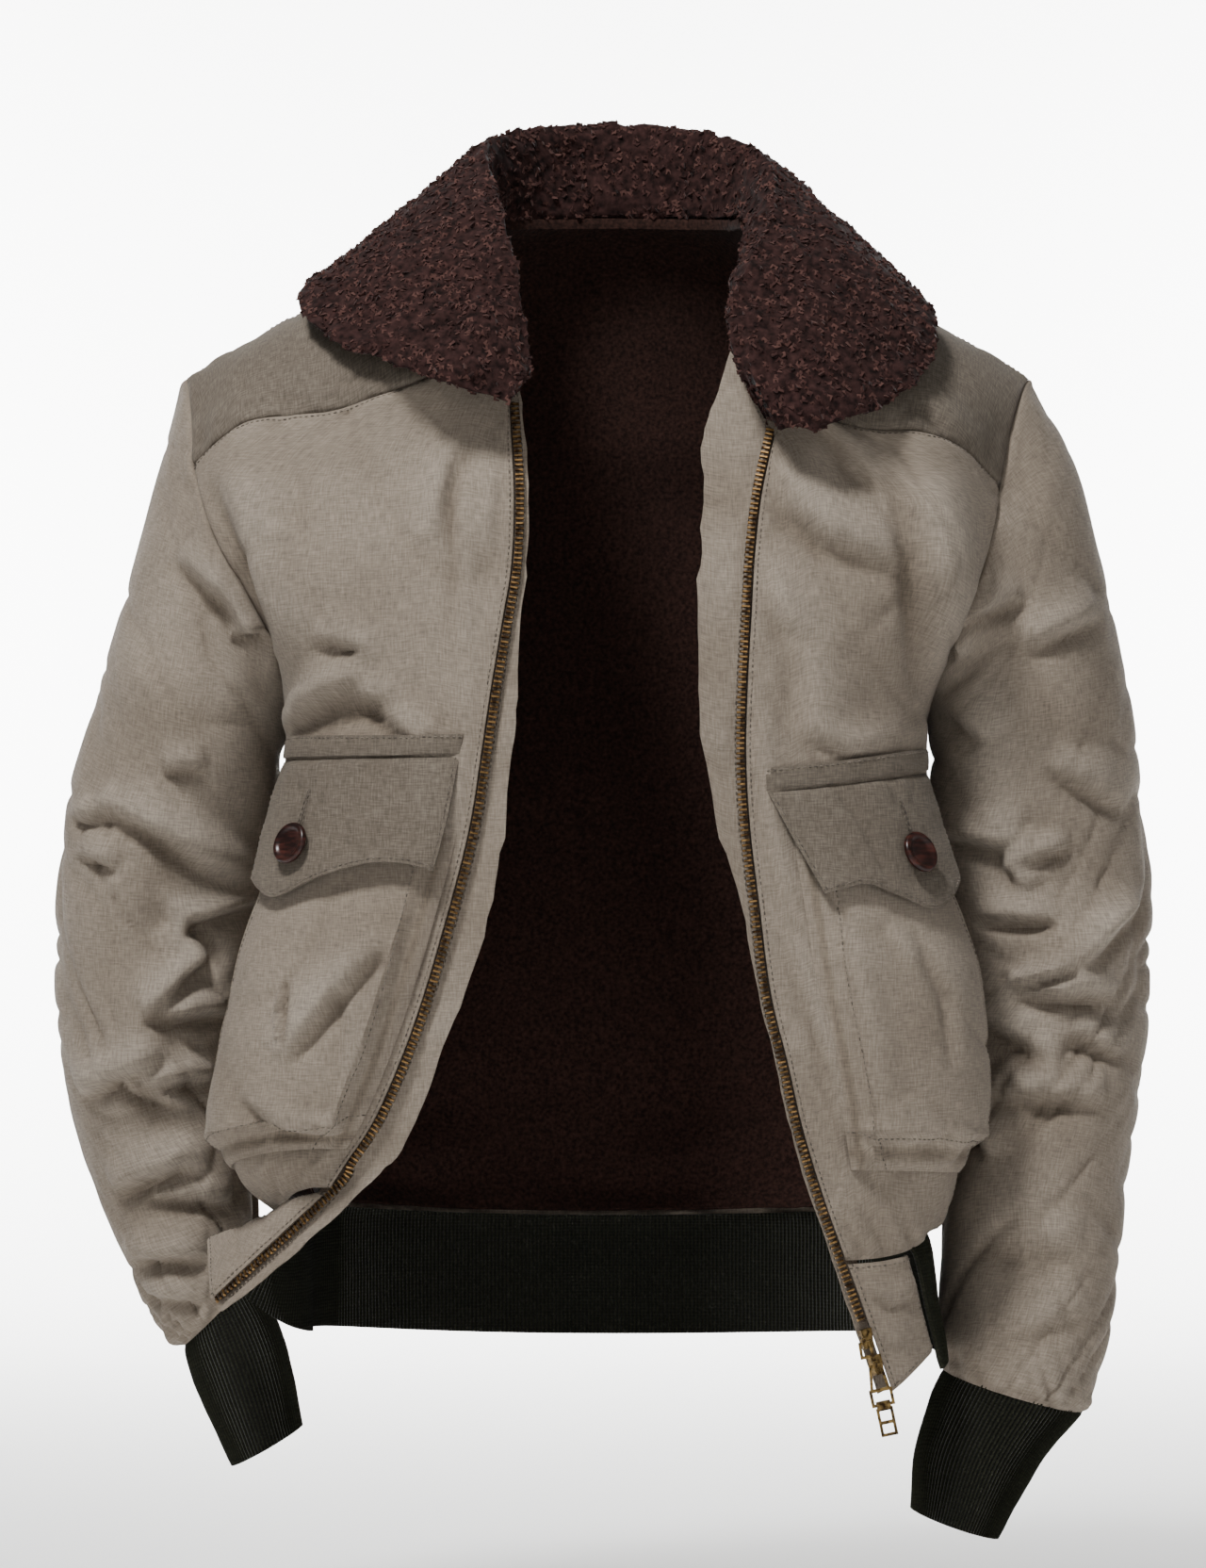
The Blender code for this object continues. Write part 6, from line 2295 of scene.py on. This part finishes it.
@dataclass
class Studio:
    """Pale paper sweep, soft lights and the camera."""

    finishes: Finishes
    floor_height: float = -0.80
    floor_end: float = 1.8
    sweep_radius: float = 3.2
    camera_place: tuple[float, float, float] = (-0.0026, -3.0, -0.3078)
    focal_pixels: float = 5769.0
    picture_height: int = 1664
    sensor: float = 36.0

    def sweep(self) -> None:
        """The floor and the backdrop as one curved sheet of paper."""
        end, radius = self.floor_end, self.sweep_radius
        bend = np.linspace(0.1, 1.57, 20)
        profile = [(-5.0, 0.0), (end, 0.0)]
        profile += [(end + radius * math.sin(a), radius * (1 - math.cos(a))) for a in bend]
        profile += [(end + radius, 4.5)]
        columns = np.linspace(-5, 5, 9)
        points = [(x, y, z + self.floor_height) for y, z in profile for x in columns]
        quads = grid_quads(len(profile), 9, False)[:, ::-1]
        mesh = bpy.data.meshes.new("paper_sweep")
        mesh.from_pydata(points, [], quads.tolist())
        mesh.materials.append(self.finishes.paper)
        mesh.shade_smooth()
        item = bpy.data.objects.new("paper_sweep", mesh)
        bpy.context.scene.collection.objects.link(item)

    @staticmethod
    def lamp(name: str, place: tuple, aim: tuple, size: float, power: float) -> None:
        """A soft square light.

        Args:
            name: Its name.
            place: Where it stands.
            aim: What it faces.
            size: Its width in metres.
            power: Watts.
        """
        data = bpy.data.lights.new(name, "AREA")
        data.size, data.energy = size, power
        item = bpy.data.objects.new(name, data)
        item.location = place
        away = Vector(place) - Vector(aim)
        item.rotation_euler = away.to_track_quat("Z", "Y").to_euler()
        bpy.context.scene.collection.objects.link(item)

    def lights(self) -> None:
        """A key from high at the front left, a weak front light and fill, and two on the paper."""
        middle = (0.0, 0.0, -0.35)
        self.lamp("key", (-0.8, -1.3, 1.9), middle, 0.5, 92.0)
        self.lamp("front", (0.3, -3.2, 0.4), middle, 1.2, 11.0)
        self.lamp("fill", (2.2, -1.8, 0.1), middle, 1.8, 6.0)
        for x, name in ((-1.7, "paper_left"), (1.7, "paper_right")):
            self.lamp(name, (x, 2.6, 1.2), (0.3 * x, 4.6, -0.6), 1.5, 420.0)
        world = bpy.data.worlds.new("studio")
        world.use_nodes = True
        world.node_tree.nodes["Background"].inputs["Color"].default_value = linear("#fbfbfa")
        world.node_tree.nodes["Background"].inputs["Strength"].default_value = 0.18
        bpy.context.scene.world = world

    def camera(self) -> None:
        """The camera at the viewing angle of the picture."""
        data = bpy.data.cameras.new("camera")
        data.sensor_width = self.sensor
        data.sensor_height = self.sensor
        data.sensor_fit = "AUTO"
        data.lens = self.focal_pixels * self.sensor / self.picture_height
        item = bpy.data.objects.new("camera", data)
        item.location = self.camera_place
        item.rotation_euler = (math.pi / 2, 0.0, 0.0)
        bpy.context.scene.collection.objects.link(item)
        bpy.context.scene.camera = item

    def build(self) -> None:
        """Sets the stage."""
        self.sweep()
        self.lights()
        self.camera()


def main() -> None:
    """Builds the jacket, piece by piece."""
    logging.basicConfig(level=logging.INFO, format="%(name)s: %(message)s")
    finishes = Finishes.make()
    Studio(finishes).build()
    cloth = OuterCloth(finishes)
    cloth.cut_out()
    cloth.dress()
    KnitBands(finishes).build()
    tabs = Tabs(finishes)
    tabs.build()
    edges = ZipEdges(finishes)
    edges.build()
    pockets = Pockets(finishes, {side: cloth.plain[f"front_{word}"] for side, word in SIDES.items()})
    pockets.build()
    Collar(finishes).build()
    PileLining(finishes, cloth.cuts).build()
    Stitching(finishes).build(cloth.stitch_lines() + tabs.stitch_lines() + edges.lines + pockets.lines)
    ZipHardware(finishes).build()


if __name__ == "__main__":
    main()
